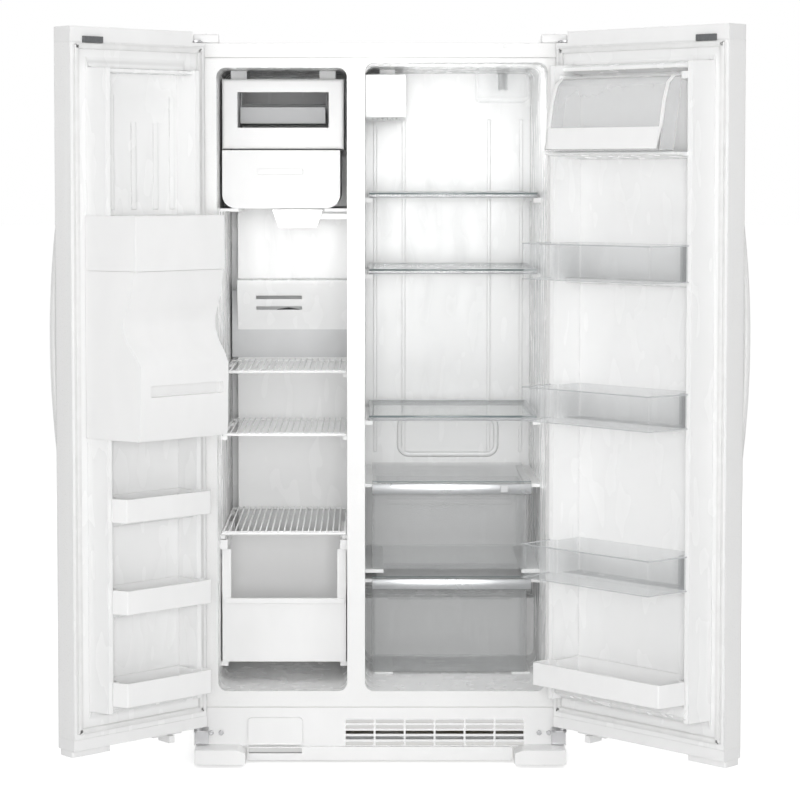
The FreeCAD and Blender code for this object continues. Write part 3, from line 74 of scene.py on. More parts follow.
def setStudio(s):
    scene = bpy.context.scene
    scene.view_settings.view_transform = "Standard"
    lens = bpy.data.cameras.new("camera")
    lens.lens = s["lens"]
    lens.sensor_width = 36
    lens.shift_x, lens.shift_y = s["shift"]
    lens.clip_end = 200
    camera = bpy.data.objects.new("camera", lens)
    camera.location = s["cameraPlace"]
    camera.rotation_euler = (math.radians(90 - s["cameraTilt"]), 0, 0)
    scene.collection.objects.link(camera)
    scene.camera = camera
    for name, place, size, watts in s["lamps"]:
        light = bpy.data.lights.new(name, "AREA")
        light.shape = "DISK"
        light.size = size
        light.energy = watts
        lamp = bpy.data.objects.new(name, light)
        lamp.location = place
        lamp.rotation_euler = (Vector(s["aim"]) - Vector(place)).to_track_quat("-Z", "Y").to_euler()
        scene.collection.objects.link(lamp)
    for name, place, width, watts in s["roomLamps"]:
        light = bpy.data.lights.new(name, "AREA")
        light.shape = "RECTANGLE"
        light.size = width
        light.size_y = 0.05
        light.energy = watts
        lamp = bpy.data.objects.new(name, light)
        lamp.location = place
        lamp.rotation_euler = Vector((0, 1, -0.62)).to_track_quat("-Z", "Y").to_euler()
        lamp.visible_camera = False
        lamp.visible_glossy = False
        scene.collection.objects.link(lamp)
    # the room: white where it is seen, softer where it lights
    world = bpy.data.worlds.new("room")
    world.use_nodes = True
    scene.world = world
    tree = world.node_tree
    back = tree.nodes["Background"]
    seen = tree.nodes.new("ShaderNodeLightPath")
    most = tree.nodes.new("ShaderNodeMath")
    most.operation = "MAXIMUM"
    every = tree.nodes.new("ShaderNodeMath")
    every.operation = "MAXIMUM"
    back.inputs["Color"].default_value = (1, 1, 1, 1)
    level = tree.nodes.new("ShaderNodeMapRange")
    level.inputs["To Min"].default_value = s["roomLight"]
    level.inputs["To Max"].default_value = 1.0
    tree.links.new(seen.outputs["Is Camera Ray"], most.inputs[0])
    tree.links.new(seen.outputs["Is Transmission Ray"], most.inputs[1])
    tree.links.new(most.outputs[0], every.inputs[0])
    tree.links.new(seen.outputs["Is Glossy Ray"], every.inputs[1])
    tree.links.new(every.outputs[0], level.inputs["Value"])
    tree.links.new(level.outputs["Result"], back.inputs["Strength"])
    # the floor: pale, a little lifted where it is seen, keeping the shadow
    mesh = bpy.data.meshes.new("floor")
    mesh.from_pydata([(-40, -40, 0), (40, -40, 0), (40, 60, 0), (-40, 60, 0)], [], [(0, 1, 2, 3)])
    floor = bpy.data.objects.new("floor", mesh)
    scene.collection.objects.link(floor)
    paper = bpy.data.materials.new("floorPaper")
    paper.use_nodes = True
    tree = paper.node_tree
    shader = tree.nodes["Principled BSDF"]
    shader.inputs["Base Color"].default_value = (*s["floorColour"], 1)
    shader.inputs["Roughness"].default_value = 0.9
    shader.inputs["Specular IOR Level"].default_value = 0.1
    shader.inputs["Emission Color"].default_value = (1, 1, 1, 1)
    seen = tree.nodes.new("ShaderNodeLightPath")
    every = tree.nodes.new("ShaderNodeMath")
    every.operation = "MAXIMUM"
    lift = tree.nodes.new("ShaderNodeMath")
    lift.operation = "MULTIPLY"
    lift.inputs[1].default_value = s["floorLift"]
    tree.links.new(seen.outputs["Is Camera Ray"], every.inputs[0])
    tree.links.new(seen.outputs["Is Transmission Ray"], every.inputs[1])
    tree.links.new(every.outputs[0], lift.inputs[0])
    tree.links.new(lift.outputs[0], shader.inputs["Emission Strength"])
    mesh.materials.append(paper)


setStudio(studio)
print("studio ready")


# finishes

def newFinish(name):
    material = bpy.data.materials.new(name)
    material.use_nodes = True
    tree = material.node_tree
    return material, tree, tree.nodes["Principled BSDF"]


def grainIn(tree, scale, detail=2.0, stretch=(1, 1, 1), distortion=0.0):
    where = tree.nodes.new("ShaderNodeTexCoord")
    turned = tree.nodes.new("ShaderNodeMapping")
    turned.inputs["Scale"].default_value = stretch
    grain = tree.nodes.new("ShaderNodeTexNoise")
    grain.inputs["Scale"].default_value = scale
    grain.inputs["Detail"].default_value = detail
    grain.inputs["Distortion"].default_value = distortion
    tree.links.new(where.outputs["Object"], turned.inputs["Vector"])
    tree.links.new(turned.outputs["Vector"], grain.inputs["Vector"])
    return grain.outputs["Fac"]


def spread(tree, value, low, high):  # a 0 to 1 value laid over a range
    ranged = tree.nodes.new("ShaderNodeMapRange")
    ranged.inputs["From Min"].default_value = 0.25
    ranged.inputs["From Max"].default_value = 0.75
    ranged.inputs["To Min"].default_value = low
    ranged.inputs["To Max"].default_value = high
    tree.links.new(value, ranged.inputs["Value"])
    return ranged.outputs["Result"]


def mottle(tree, shader, value, colour, other):  # the colour wanders between two near ones
    mixed = tree.nodes.new("ShaderNodeMix")
    mixed.data_type = "RGBA"
    mixed.inputs["A"].default_value = (*colour, 1)
    mixed.inputs["B"].default_value = (*other, 1)
    tree.links.new(spread(tree, value, 0, 1), mixed.inputs["Factor"])
    tree.links.new(mixed.outputs["Result"], shader.inputs["Base Color"])


def relief(tree, shader, layers, edge=0.0):  # bumps one over another, on softened edges
    normal = None
    if edge:
        softened = tree.nodes.new("ShaderNodeBevel")
        softened.samples = 4
        softened.inputs["Radius"].default_value = edge
        normal = softened.outputs["Normal"]
    for value, depth in layers:
        bump = tree.nodes.new("ShaderNodeBump")
        bump.inputs["Strength"].default_value = 1.0
        bump.inputs["Distance"].default_value = depth
        tree.links.new(value, bump.inputs["Height"])
        if normal:
            tree.links.new(normal, bump.inputs["Normal"])
        normal = bump.outputs["Normal"]
    if normal:
        tree.links.new(normal, shader.inputs["Normal"])


def enamelFinish(name, colour, edge=0.0012):  # baked paint on sheet: orange peel under a clear gloss
    material, tree, shader = newFinish(name)
    peel = grainIn(tree, 420, 1.0)
    flow = grainIn(tree, 9, 2.0)
    mottle(tree, shader, flow, colour, [c * 0.985 for c in colour])
    tree.links.new(spread(tree, peel, 0.26, 0.34), shader.inputs["Roughness"])
    relief(tree, shader, [(flow, 0.00025), (peel, 0.00002)], edge)
    shader.inputs["Coat Weight"].default_value = 0.25
    shader.inputs["Coat Roughness"].default_value = 0.12
    return material


def formedFinish(name, colour, edge=0.0015, wave=0.0005):  # vacuum formed sheet: glossy, gently uneven
    material, tree, shader = newFinish(name)
    wander = grainIn(tree, 5.5, 2.0)
    draw = grainIn(tree, 26, 1.0, (1, 1, 0.3))
    mottle(tree, shader, wander, colour, [c * 0.98 for c in colour])
    tree.links.new(spread(tree, draw, 0.22, 0.3), shader.inputs["Roughness"])
    relief(tree, shader, [(wander, wave)], edge)
    shader.inputs["Specular IOR Level"].default_value = 0.5
    return material


def mouldedFinish(name, colour, rough=0.36, edge=0.0008, grainDepth=0.00002, grainScale=1100):
    # injection moulded: a fine spark grain with slow flow marks
    material, tree, shader = newFinish(name)
    grain = grainIn(tree, grainScale, 3.0)
    flow = grainIn(tree, 14, 3.0, (1, 1, 0.35), 0.6)
    mottle(tree, shader, flow, colour, [c * 0.97 for c in colour])
    tree.links.new(spread(tree, grain, rough - 0.05, rough + 0.06), shader.inputs["Roughness"])
    relief(tree, shader, [(flow, 0.0001), (grain, grainDepth)], edge)
    return material


def clearFinish(name, tint, thin, glance, rough=0.06, edge=0.0006):
    # clear moulding: almost unseen face on, denser at a glance, with faint flow lines
    material, tree, shader = newFinish(name)
    flow = grainIn(tree, 18, 2.0, (1, 1, 0.3), 1.2)
    speck = grainIn(tree, 700, 2.0)
    mottle(tree, shader, flow, tint, [c * 0.96 for c in tint])
    tree.links.new(spread(tree, speck, max(rough - 0.03, 0), rough + 0.04), shader.inputs["Roughness"])
    relief(tree, shader, [(flow, 0.00006), (speck, 0.000004)], edge)
    glancing = tree.nodes.new("ShaderNodeLayerWeight")
    glancing.inputs["Blend"].default_value = 0.3
    density = tree.nodes.new("ShaderNodeMapRange")
    density.inputs["To Min"].default_value = thin
    density.inputs["To Max"].default_value = glance
    tree.links.new(glancing.outputs["Facing"], density.inputs["Value"])
    tree.links.new(density.outputs["Result"], shader.inputs["Alpha"])
    return material


def bareMetalFinish(name, colour, rough=0.34, brush=(1, 1, 40), edge=0.0006, spangle=0.0):
    # plated or rolled metal: drawn scratches, and crystals where it is galvanised
    material, tree, shader = newFinish(name)
    drawn = grainIn(tree, 60, 4.0, brush)
    cloud = grainIn(tree, 22, 3.0)
    mottle(tree, shader, cloud, colour, [c * 0.86 for c in colour])
    tree.links.new(spread(tree, cloud, rough - 0.06, rough + 0.1), shader.inputs["Roughness"])
    layers = [(drawn, 0.00002)]
    if spangle:
        where = tree.nodes.new("ShaderNodeTexCoord")
        crystals = tree.nodes.new("ShaderNodeTexVoronoi")
        crystals.inputs["Scale"].default_value = 90
        tree.links.new(where.outputs["Object"], crystals.inputs["Vector"])
        layers.append((crystals.outputs["Distance"], spangle))
    relief(tree, shader, layers, edge)
    shader.inputs["Metallic"].default_value = 1.0
    return material


def rubberFinish(name, colour, rough=0.62, edge=0.0008):
    material, tree, shader = newFinish(name)
    grain = grainIn(tree, 520, 4.0)
    bloom = grainIn(tree, 30, 3.0)
    mottle(tree, shader, bloom, colour, [c * 0.9 + 0.01 for c in colour])
    tree.links.new(spread(tree, grain, rough - 0.08, rough + 0.08), shader.inputs["Roughness"])
    relief(tree, shader, [(grain, 0.00004)], edge)
    shader.inputs["Specular IOR Level"].default_value = 0.35
    return material


def foamFinish(name, colour):  # poured insulation: fine cells and a skin that varies
    material, tree, shader = newFinish(name)
    where = tree.nodes.new("ShaderNodeTexCoord")
    cells = tree.nodes.new("ShaderNodeTexVoronoi")
    cells.inputs["Scale"].default_value = 260
    tree.links.new(where.outputs["Object"], cells.inputs["Vector"])
    cloud = grainIn(tree, 12, 4.0)
    mottle(tree, shader, cloud, colour, (colour[0] * 0.86, colour[1] * 0.8, colour[2] * 0.66))
    relief(tree, shader, [(cloud, 0.002), (cells.outputs["Distance"], 0.0004)])
    shader.inputs["Roughness"].default_value = 0.85
    return material


finishes = {
    "caseEnamel": enamelFinish("caseEnamel", (0.86, 0.86, 0.855), 0.002),
    "doorEnamel": enamelFinish("doorEnamel", (0.88, 0.88, 0.875), 0.002),
    "handleEnamel": enamelFinish("handleEnamel", (0.87, 0.87, 0.865), 0.004),
    "linerSheet": formedFinish("linerSheet", (0.9, 0.902, 0.9), 0.003),
    "doorLinerSheet": formedFinish("doorLinerSheet", (0.89, 0.892, 0.89), 0.004, 0.00015),
    "whiteMoulding": mouldedFinish("whiteMoulding", (0.87, 0.87, 0.868), 0.34, 0.0012),
    "greyMoulding": mouldedFinish("greyMoulding", (0.5, 0.505, 0.51), 0.42),
    "paleGreyMoulding": mouldedFinish("paleGreyMoulding", (0.66, 0.665, 0.67), 0.38),
    "blackMoulding": mouldedFinish("blackMoulding", (0.035, 0.036, 0.038), 0.48),
    "blueMoulding": mouldedFinish("blueMoulding", (0.06, 0.12, 0.36), 0.42),
    "clearMoulding": clearFinish("clearMoulding", (0.8, 0.82, 0.83), 0.035, 0.42),
    "crisperMoulding": clearFinish("crisperMoulding", (0.86, 0.875, 0.88), 0.1, 0.5, 0.16),
    "frostedMoulding": clearFinish("frostedMoulding", (0.9, 0.905, 0.91), 0.22, 0.6, 0.25),
    "shelfGlass": clearFinish("shelfGlass", (0.66, 0.71, 0.7), 0.06, 0.4, 0.03),
    "smokedStrip": clearFinish("smokedStrip", (0.42, 0.43, 0.44), 0.45, 0.85, 0.12),
    "clearEdge": clearFinish("clearEdge", (0.7, 0.71, 0.72), 0.5, 0.8, 0.1),
    "glassEdge": clearFinish("glassEdge", (0.16, 0.2, 0.2), 0.85, 1.0, 0.08),
    "silverStrip": bareMetalFinish("silverStrip", (0.6, 0.61, 0.62), 0.3),
    "screenGlass": enamelFinish("screenGlass", (0.012, 0.013, 0.015)),
    "printInk": mouldedFinish("printInk", (0.22, 0.23, 0.24), 0.5, 0.0),
    "litLens": mouldedFinish("litLens", (0.95, 0.95, 0.92), 0.3),
    "sealRubber": rubberFinish("sealRubber", (0.8, 0.8, 0.795), 0.5),
    "bumperRubber": rubberFinish("bumperRubber", (0.13, 0.135, 0.14), 0.6),
    "tyreRubber": rubberFinish("tyreRubber", (0.03, 0.03, 0.032), 0.7),
    "galvanised": bareMetalFinish("galvanised", (0.62, 0.63, 0.64), 0.4, (1, 1, 1), 0.001, 0.0002),
    "zincPlate": bareMetalFinish("zincPlate", (0.56, 0.56, 0.57), 0.36),
    "aluminiumFin": bareMetalFinish("aluminiumFin", (0.78, 0.79, 0.8), 0.3),
    "copperTube": bareMetalFinish("copperTube", (0.72, 0.36, 0.22), 0.28),
    "blackPaint": enamelFinish("blackPaint", (0.02, 0.02, 0.021)),
    "wireCoat": enamelFinish("wireCoat", (0.86, 0.86, 0.86)),
    "pouredFoam": foamFinish("pouredFoam", (0.83, 0.74, 0.5)),
}
print("finishes ready:", len(finishes))


# the solid parts and their finishes

nodeFinishes = {
    "cabinet_shell": "caseEnamel",
    "rear_panels": "galvanised",
    "cabinet_foam": "pouredFoam",
    "freezer_liner": "linerSheet",
    "fridge_liner": "linerSheet",
    "base_frame": "galvanised",
    "leveling_legs": "zincPlate",
    "rear_rollers": "tyreRubber",
    "base_grille": "whiteMoulding",
    "water_filter": "whiteMoulding",
    "filter_cover": "whiteMoulding",
    "hinges": "zincPlate",
    "hinge_covers": "whiteMoulding",
    "evaporator_coil": "aluminiumFin",
    "condenser_coil": "blackPaint",
    "drain_pan": "blackMoulding",
    "compressor": "blackPaint",
    "evaporator_fan": "greyMoulding",
    "condenser_fan": "blackMoulding",
    "fan_motors": "blackMoulding",
    "inlet_valve": "blueMoulding",
    "evaporator_cover": "linerSheet",
    "ice_maker_housing": "whiteMoulding",
    "ice_maker": "greyMoulding",
    "ice_bin": "whiteMoulding",
    "ice_auger": "zincPlate",
    "wire_shelves": "wireCoat",
    "freezer_basket": "whiteMoulding",
    "shelf_frames": "smokedStrip",
    "glass_shelves": "shelfGlass",
    "crisper_covers": "clearMoulding",
    "humidity_slider": "greyMoulding",
    "upper_crisper": "crisperMoulding",
    "lower_crisper": "crisperMoulding",
    "control_box": "whiteMoulding",
    "light_cover": "clearMoulding",
    "interior_rails": "whiteMoulding",
    "freezer_switch": "whiteMoulding",
    "fridge_switch": "whiteMoulding",
    "freezer_door_skin": "doorEnamel",
    "freezer_door_foam": "pouredFoam",
    "freezer_door_liner": "doorLinerSheet",
    "freezer_door_caps": "whiteMoulding",
    "freezer_door_gasket": "sealRubber",
    "freezer_handle": "handleEnamel",
    "fridge_door_skin": "doorEnamel",
    "fridge_door_foam": "pouredFoam",
    "fridge_door_liner": "doorLinerSheet",
    "fridge_door_caps": "whiteMoulding",
    "fridge_door_gasket": "sealRubber",
    "fridge_handle": "handleEnamel",
    "freezer_bins": "whiteMoulding",
    "door_bins": "clearMoulding",
    "bottom_bin": "whiteMoulding",
    "dairy_cover": "frostedMoulding",
    "dispenser_housing": "whiteMoulding",
    "dispenser_panel": "paleGreyMoulding",
    "dispenser_paddle": "greyMoulding",
    "ice_flap": "greyMoulding",
    "selector_slide": "blackMoulding",
}


def dressNode(name, finish):
    node = nodes[name]
    if not node.material_slots:
        node.data.materials.append(finishes[finish])
    for slot in node.material_slots:
        slot.material = finishes[finish]
    node.data.polygons.foreach_set("use_smooth", [True] * len(node.data.polygons))
    weld = node.modifiers.new("weld", "WELD")
    weld.merge_threshold = 0.00001
    split = node.modifiers.new("edges", "EDGE_SPLIT")
    split.split_angle = math.radians(31)


for name, finish in nodeFinishes.items():
    dressNode(name, finish)
print("solid parts dressed:", len(nodeFinishes))



# making pieces

def inCase(x, y, z):  # a place in the case, in millimetres from its front centre
    return Vector(((x - 38.3) / 1000, (y - 131.5) / 1000, z / 1000))


def doorPlace(side, swing):  # a place on a door: across from its hinge edge, inward, height
    pin = inCase(side * 442.5, -28.5, 0)
    turn = Matrix.Translation(pin) @ Matrix.Rotation(math.radians(side * swing), 4, "Z")

    def place(across, inward, height):
        return turn @ Vector((-side * (across - 11.5) / 1000, (inward + 20.5) / 1000, height / 1000))
    return place


onFreezerDoor = doorPlace(-1, 137.67)
onFridgeDoor = doorPlace(1, 135.13)
doorWidths = {"freezer": 392, "fridge": 510}


def addLoft(form, loops, capped=True):  # skin over loops of as many points each
    rows = [[form.verts.new(point) for point in loop] for loop in loops]
    count = len(rows[0])
    for low, high in zip(rows, rows[1:]):
        for i in range(count):
            j = (i + 1) % count
            form.faces.new((low[i], low[j], high[j], high[i]))
    if capped:
        form.faces.new(rows[0][::-1])
        form.faces.new(rows[-1])


def addBlock(form, place, xs, ys, zs, taper=0.0):  # a block, drawn in at its top by a taper
    corners = [(0, 0, 1, 1), (1, 0, -1, 1), (1, 1, -1, -1), (0, 1, 1, -1)]
    addLoft(form, [
        [place(xs[i] + tx * inset, ys[j] + ty * inset, z) for i, j, tx, ty in corners]
        for z, inset in zip(zs, (0, taper))
    ])


def addPrism(form, place, outline, span):  # an upright outline of (x, z) corners, between two depths
    addLoft(form, [[place(x, y, z) for x, z in outline] for y in span])


def roundedPath(xs, zs, radius, steps=6):  # points and outward directions round a rectangle
    path = []
    for cornerX, cornerZ, start in ((xs[1], zs[1], 0), (xs[0], zs[1], 90), (xs[0], zs[0], 180), (xs[1], zs[0], 270)):
        middleX = cornerX + (-radius if start in (0, 270) else radius)
        middleZ = cornerZ + (-radius if start in (0, 90) else radius)
        for step in range(steps + 1):
            angle = math.radians(start + 90 * step / steps)
            path.append((middleX, middleZ, math.cos(angle), math.sin(angle)))
    return path


def addRing(form, place, xs, zs, radius, section, steps=6):  # a closed moulding of (outward, depth) section
    path = roundedPath(xs, zs, radius, steps)
    rows = []
    for middleX, middleZ, alongX, alongZ in path:
        rows.append([
            form.verts.new(place(middleX + alongX * (radius + out), depth, middleZ + alongZ * (radius + out)))
            for out, depth in section
        ])
    for one, other in zip(rows, rows[1:] + rows[:1]):
        for i in range(len(section)):
            j = (i + 1) % len(section)
            form.faces.new((one[i], one[j], other[j], other[i]))


def addTurned(form, centre, axis, section, steps=24):  # a turned shape: (along, radius) from its centre
    axis = Vector(axis).normalized()
    side = axis.orthogonal().normalized()
    other = axis.cross(side)
    loops = []
    for along, radius in section:
        loops.append([
            centre + axis * along / 1000 + (side * math.cos(a) + other * math.sin(a)) * radius / 1000
            for a in (2 * math.pi * k / steps for k in range(steps))
        ])
    addLoft(form, loops)


def finishPiece(piece, body, finish, edge=0.0, segments=2):
    mesh = piece.data
    mesh.materials.clear()
    mesh.materials.append(finishes[finish])
    mesh.polygons.foreach_set("use_smooth", [True] * len(mesh.polygons))
    if edge:
        rounded = piece.modifiers.new("rounded", "BEVEL")
        rounded.width = edge / 1000
        rounded.segments = segments
        rounded.limit_method = "ANGLE"
        rounded.angle_limit = math.radians(38)
    split = piece.modifiers.new("edges", "EDGE_SPLIT")
    split.split_angle = math.radians(34)
    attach(piece, body)
    return piece


def pieceFrom(name, form, body, finish, edge=0.0, segments=2):
    bmesh.ops.remove_doubles(form, verts=form.verts, dist=0.0000005)
    bmesh.ops.recalc_face_normals(form, faces=form.faces)
    mesh = bpy.data.meshes.new(name)
    form.to_mesh(mesh)
    form.free()
    piece = bpy.data.objects.new(name, mesh)
    bpy.context.scene.collection.objects.link(piece)
    return finishPiece(piece, body, finish, edge, segments)


def rowTree():  # repeats a shape along a line
    tree = bpy.data.node_groups.new("row", "GeometryNodeTree")
    sockets = {}
    for name, kind in (("Shape", "Object"), ("Count", "Int"), ("Step", "Vector"), ("Finish", "Material")):
        sockets[name] = tree.interface.new_socket(name=name, in_out="INPUT", socket_type="NodeSocket" + kind).identifier
    tree.interface.new_socket(name="Geometry", in_out="OUTPUT", socket_type="NodeSocketGeometry")
    given = tree.nodes.new("NodeGroupInput")
    line = tree.nodes.new("GeometryNodeMeshLine")
    shape = tree.nodes.new("GeometryNodeObjectInfo")
    spots = tree.nodes.new("GeometryNodeInstanceOnPoints")
    real = tree.nodes.new("GeometryNodeRealizeInstances")
    coat = tree.nodes.new("GeometryNodeSetMaterial")
    result = tree.nodes.new("NodeGroupOutput")
    join = tree.links.new
    join(given.outputs["Count"], line.inputs["Count"])
    join(given.outputs["Step"], line.inputs["Offset"])
    join(given.outputs["Shape"], shape.inputs["Object"])
    join(line.outputs["Mesh"], spots.inputs["Points"])
    join(shape.outputs["Geometry"], spots.inputs["Instance"])
    join(spots.outputs["Instances"], real.inputs["Geometry"])
    join(real.outputs["Geometry"], coat.inputs["Geometry"])
    join(given.outputs["Finish"], coat.inputs["Material"])
    join(coat.outputs["Geometry"], result.inputs["Geometry"])
    return tree, sockets


def spotTree():  # sets a shape down on every point of a mesh
    tree = bpy.data.node_groups.new("spots", "GeometryNodeTree")
    sockets = {}
    tree.interface.new_socket(name="Geometry", in_out="INPUT", socket_type="NodeSocketGeometry")
    for name, kind in (("Shape", "Object"), ("Finish", "Material")):
        sockets[name] = tree.interface.new_socket(name=name, in_out="INPUT", socket_type="NodeSocket" + kind).identifier
    tree.interface.new_socket(name="Geometry", in_out="OUTPUT", socket_type="NodeSocketGeometry")
    given = tree.nodes.new("NodeGroupInput")
    shape = tree.nodes.new("GeometryNodeObjectInfo")
    spots = tree.nodes.new("GeometryNodeInstanceOnPoints")
    real = tree.nodes.new("GeometryNodeRealizeInstances")
    coat = tree.nodes.new("GeometryNodeSetMaterial")
    result = tree.nodes.new("NodeGroupOutput")
    join = tree.links.new
    join(given.outputs["Geometry"], spots.inputs["Points"])
    join(given.outputs["Shape"], shape.inputs["Object"])
    join(shape.outputs["Geometry"], spots.inputs["Instance"])
    join(spots.outputs["Instances"], real.inputs["Geometry"])
    join(real.outputs["Geometry"], coat.inputs["Geometry"])
    join(given.outputs["Finish"], coat.inputs["Material"])
    join(coat.outputs["Geometry"], result.inputs["Geometry"])
    return tree, sockets


rows, rowSockets = rowTree()
spots, spotSockets = spotTree()


def repeated(name, tree, sockets, base, form, values, body, finish):
    bmesh.ops.recalc_face_normals(form, faces=form.faces)
    shapeMesh = bpy.data.meshes.new(name + "Shape")
    form.to_mesh(shapeMesh)
    form.free()
    shape = bpy.data.objects.new(name + "Shape", shapeMesh)
    holder = bpy.data.objects.new(name + "Holder", base)
    for thing in (shape, holder):
        bpy.context.scene.collection.objects.link(thing)
    nodesModifier = holder.modifiers.new("repeat", "NODES")
    nodesModifier.node_group = tree
    for key, value in {"Shape": shape, "Finish": finishes[finish], **values}.items():
        nodesModifier[sockets[key]] = value
    bpy.context.view_layer.update()
    graph = bpy.context.evaluated_depsgraph_get()
    mesh = bpy.data.meshes.new_from_object(holder.evaluated_get(graph), depsgraph=graph)
    mesh.name = name
    for thing in (holder, shape):
        bpy.data.objects.remove(thing)
    piece = bpy.data.objects.new(name, mesh)
    bpy.context.scene.collection.objects.link(piece)
    return finishPiece(piece, body, finish)


def rowOf(name, form, count, step, body, finish, slot):
    values = {"Count": count, "Step": tuple(step)}
    return repeated(name, rows, rowSockets, bpy.data.meshes.new(name + "Base"), form, values, body, finish)


def spotsOf(name, form, places, body, finish):
    base = bpy.data.meshes.new(name + "Base")
    base.from_pydata([tuple(place) for place in places], [], [])
    return repeated(name, spots, spotSockets, base, form, {}, body, finish)


def screwForm(axis, size=4.2, depth=2.4):  # a pan head with a round dished recess, seated at the origin
    form = bmesh.new()
    addTurned(form, Vector((0, 0, 0)), axis, [
        (-1.0, size), (0.0, size), (depth * 0.55, size * 0.93), (depth * 0.9, size * 0.66),
        (depth, size * 0.42), (depth * 0.55, size * 0.3), (depth * 0.3, size * 0.12),
    ], 14)
    return form


def pipeOf(name, points, radius, body, finish):  # a bent tube through a few points
    curve = bpy.data.curves.new(name, "CURVE")
    curve.dimensions = "3D"
    curve.bevel_depth = radius / 1000
    curve.bevel_resolution = 3
    curve.use_fill_caps = True
    line = curve.splines.new("NURBS")
    line.points.add(len(points) - 1)
    for spot, point in zip(line.points, points):
        spot.co = (*point, 1)
    line.order_u = 3
    line.use_endpoint_u = True
    line.resolution_u = 8
    holder = bpy.data.objects.new(name + "Line", curve)
    bpy.context.scene.collection.objects.link(holder)
    bpy.context.view_layer.update()
    graph = bpy.context.evaluated_depsgraph_get()
    mesh = bpy.data.meshes.new_from_object(holder.evaluated_get(graph), depsgraph=graph)
    bpy.data.objects.remove(holder)
    piece = bpy.data.objects.new(name, mesh)
    bpy.context.scene.collection.objects.link(piece)
    return finishPiece(piece, body, finish)


print("workshop ready")


# door seals and bumpers

seal = {
    "low": 136, "high": 1736, "hinge": 12.5, "free": 8, "width": 14, "thick": 7.6, "corner": 5,
    "bumper": (34, 90), "bumperHigh": (1737, 1752), "bumperThick": 6,
}


def makeSeal(name, place, width):
    s = seal
    form = bmesh.new()
    w, t = s["width"], s["thick"]
    section = [  # a flat foot, two bellows folds and the magnet lip
        (0, 0.2), (-w, 0.2), (-w, 1.4), (-w + 2, 2.0), (-w + 2.4, 3.2), (-w + 0.8, 4.2), (-w + 0.8, t - 0.6),
        (-w + 1.8, t), (-2.2, t), (-1.0, t - 0.8), (-1.2, 4.4), (-3, 3.4), (-2.6, 2.2), (0, 1.4),
    ]
    xs = (s["hinge"], width - s["free"])
    addRing(form, place, xs, (s["low"], s["high"]), s["corner"], section, 4)
    piece = pieceFrom(name + "Seal", form, name + "_door", "sealRubber")
    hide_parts(name + "_door_gasket")
    form = bmesh.new()
    near, far = width - s["bumper"][1], width - s["bumper"][0]
    addBlock(form, place, (near, far), (0.1, s["bumperThick"]), s["bumperHigh"])
    for k in range(5):
        at = near + 6 + k * 10
        addBlock(form, place, (at, at + 4), (s["bumperThick"] - 0.5, s["bumperThick"] + 0.8), (1739, 1750))
    pieceFrom(name + "Bumper", form, name + "_door", "bumperRubber", 0.8)


makeSeal("freezer", onFreezerDoor, doorWidths["freezer"])
makeSeal("fridge", onFridgeDoor, doorWidths["fridge"])
print("seals made")


# shelves, drawer fronts and glass edges

shelfTrim = {"tops": (1389, 1198, 830), "x": (-27.8, 394), "front": 199.2, "covers": (662, 421), "coverX": (-19, 381)}


def makeShelfTrim(s):
    form = bmesh.new()
    for top in s["tops"]:
        addPrism(form, inCase, [
            (s["x"][0] + 1, top - 4.6), (s["x"][1] - 1, top - 4.6), (s["x"][1] - 1, top - 0.4), (s["x"][0] + 1, top - 0.4),
        ], (s["front"], s["front"] + 1.4))
    pieceFrom("shelfEdges", form, "cabinet", "glassEdge", 0.4)
    form = bmesh.new()
    for top in s["covers"]:
        low, high = top - 31, top
        addLoft(form, [[inCase(x, y, z) for y, z in (
            (199.6, low + 1), (198.4, low + 3), (197.6, low + 14), (198.2, high - 6), (199.6, high - 3),
        )] for x in s["coverX"]])
    pieceFrom("drawerStrips", form, "cabinet", "silverStrip", 0.3)
    form = bmesh.new()
    for top in s["covers"]:
        for y in (204, 208):
            addBlock(form, inCase, s["coverX"], (y, y + 2.0), (top + 0.05, top + 1.4), 0.4)
    pieceFrom("drawerLidBeads", form, "cabinet", "glassEdge")


makeShelfTrim(shelfTrim)
print("shelf trim made")


# the fridge's back wall

backWall = {"y": 631.9, "recessX": (62, 306), "recessZ": (690, 775), "relief": 1.5, "corner": 18}


def makeBackWall(s):
    form = bmesh.new()
    high = s["relief"]
    section = [(0, 0.3), (3, -0.7 * high), (7, -high), (11, -0.7 * high), (15, 0.3)]
    addRing(form, inCase, s["recessX"], s["recessZ"], s["corner"], [(out, s["y"] + n) for out, n in section], 8)
    pieceFrom("backRecess", form, "cabinet", "linerSheet")


makeBackWall(backWall)
print("back wall made")


# the freezer's air cover

airCover = {"y": 559.8, "split": 1128, "x": (-390, -85), "slots": (1046, 1074), "slotX": (-276, -206)}


def makeAirCover(s):
    form = bmesh.new()
    left, right = s["x"]
    addPrism(form, inCase, [(left, 950), (right, 950), (right, s["split"]), (left, s["split"])], (s["y"], s["y"] - 1.2))
    pieceFrom("airPanel", form, "cabinet", "paleGreyMoulding", 0.4)
    # the slots are thin black plates laid on the cover's face: painted shade standing in for the dark inside open air
    # slots, with no opening cut
    form = bmesh.new()
    for z in s["slots"]:
        a, b = s["slotX"]
        outline = [(a, z), (a + 8, z + 4), ((a + b) / 2, z + 8), (b - 8, z + 4), (b, z),
                   (b - 8, z - 3), ((a + b) / 2, z + 1), (a + 8, z - 3)]
        addPrism(form, inCase, outline, (s["y"] - 1.0, s["y"] - 1.9))
    pieceFrom("airSlots", form, "cabinet", "blackMoulding", 0.3)
    form = bmesh.new()
    for x in (s["x"][0] + 34, s["x"][1] - 34):
        addBlock(form, inCase, (x - 5, x + 5), (s["y"] - 6, s["y"]), (s["split"] - 4, s["split"] + 10), 1)
    pieceFrom("airClips", form, "cabinet", "paleGreyMoulding", 0.8)


makeAirCover(airCover)
print("air cover made")


# fasteners

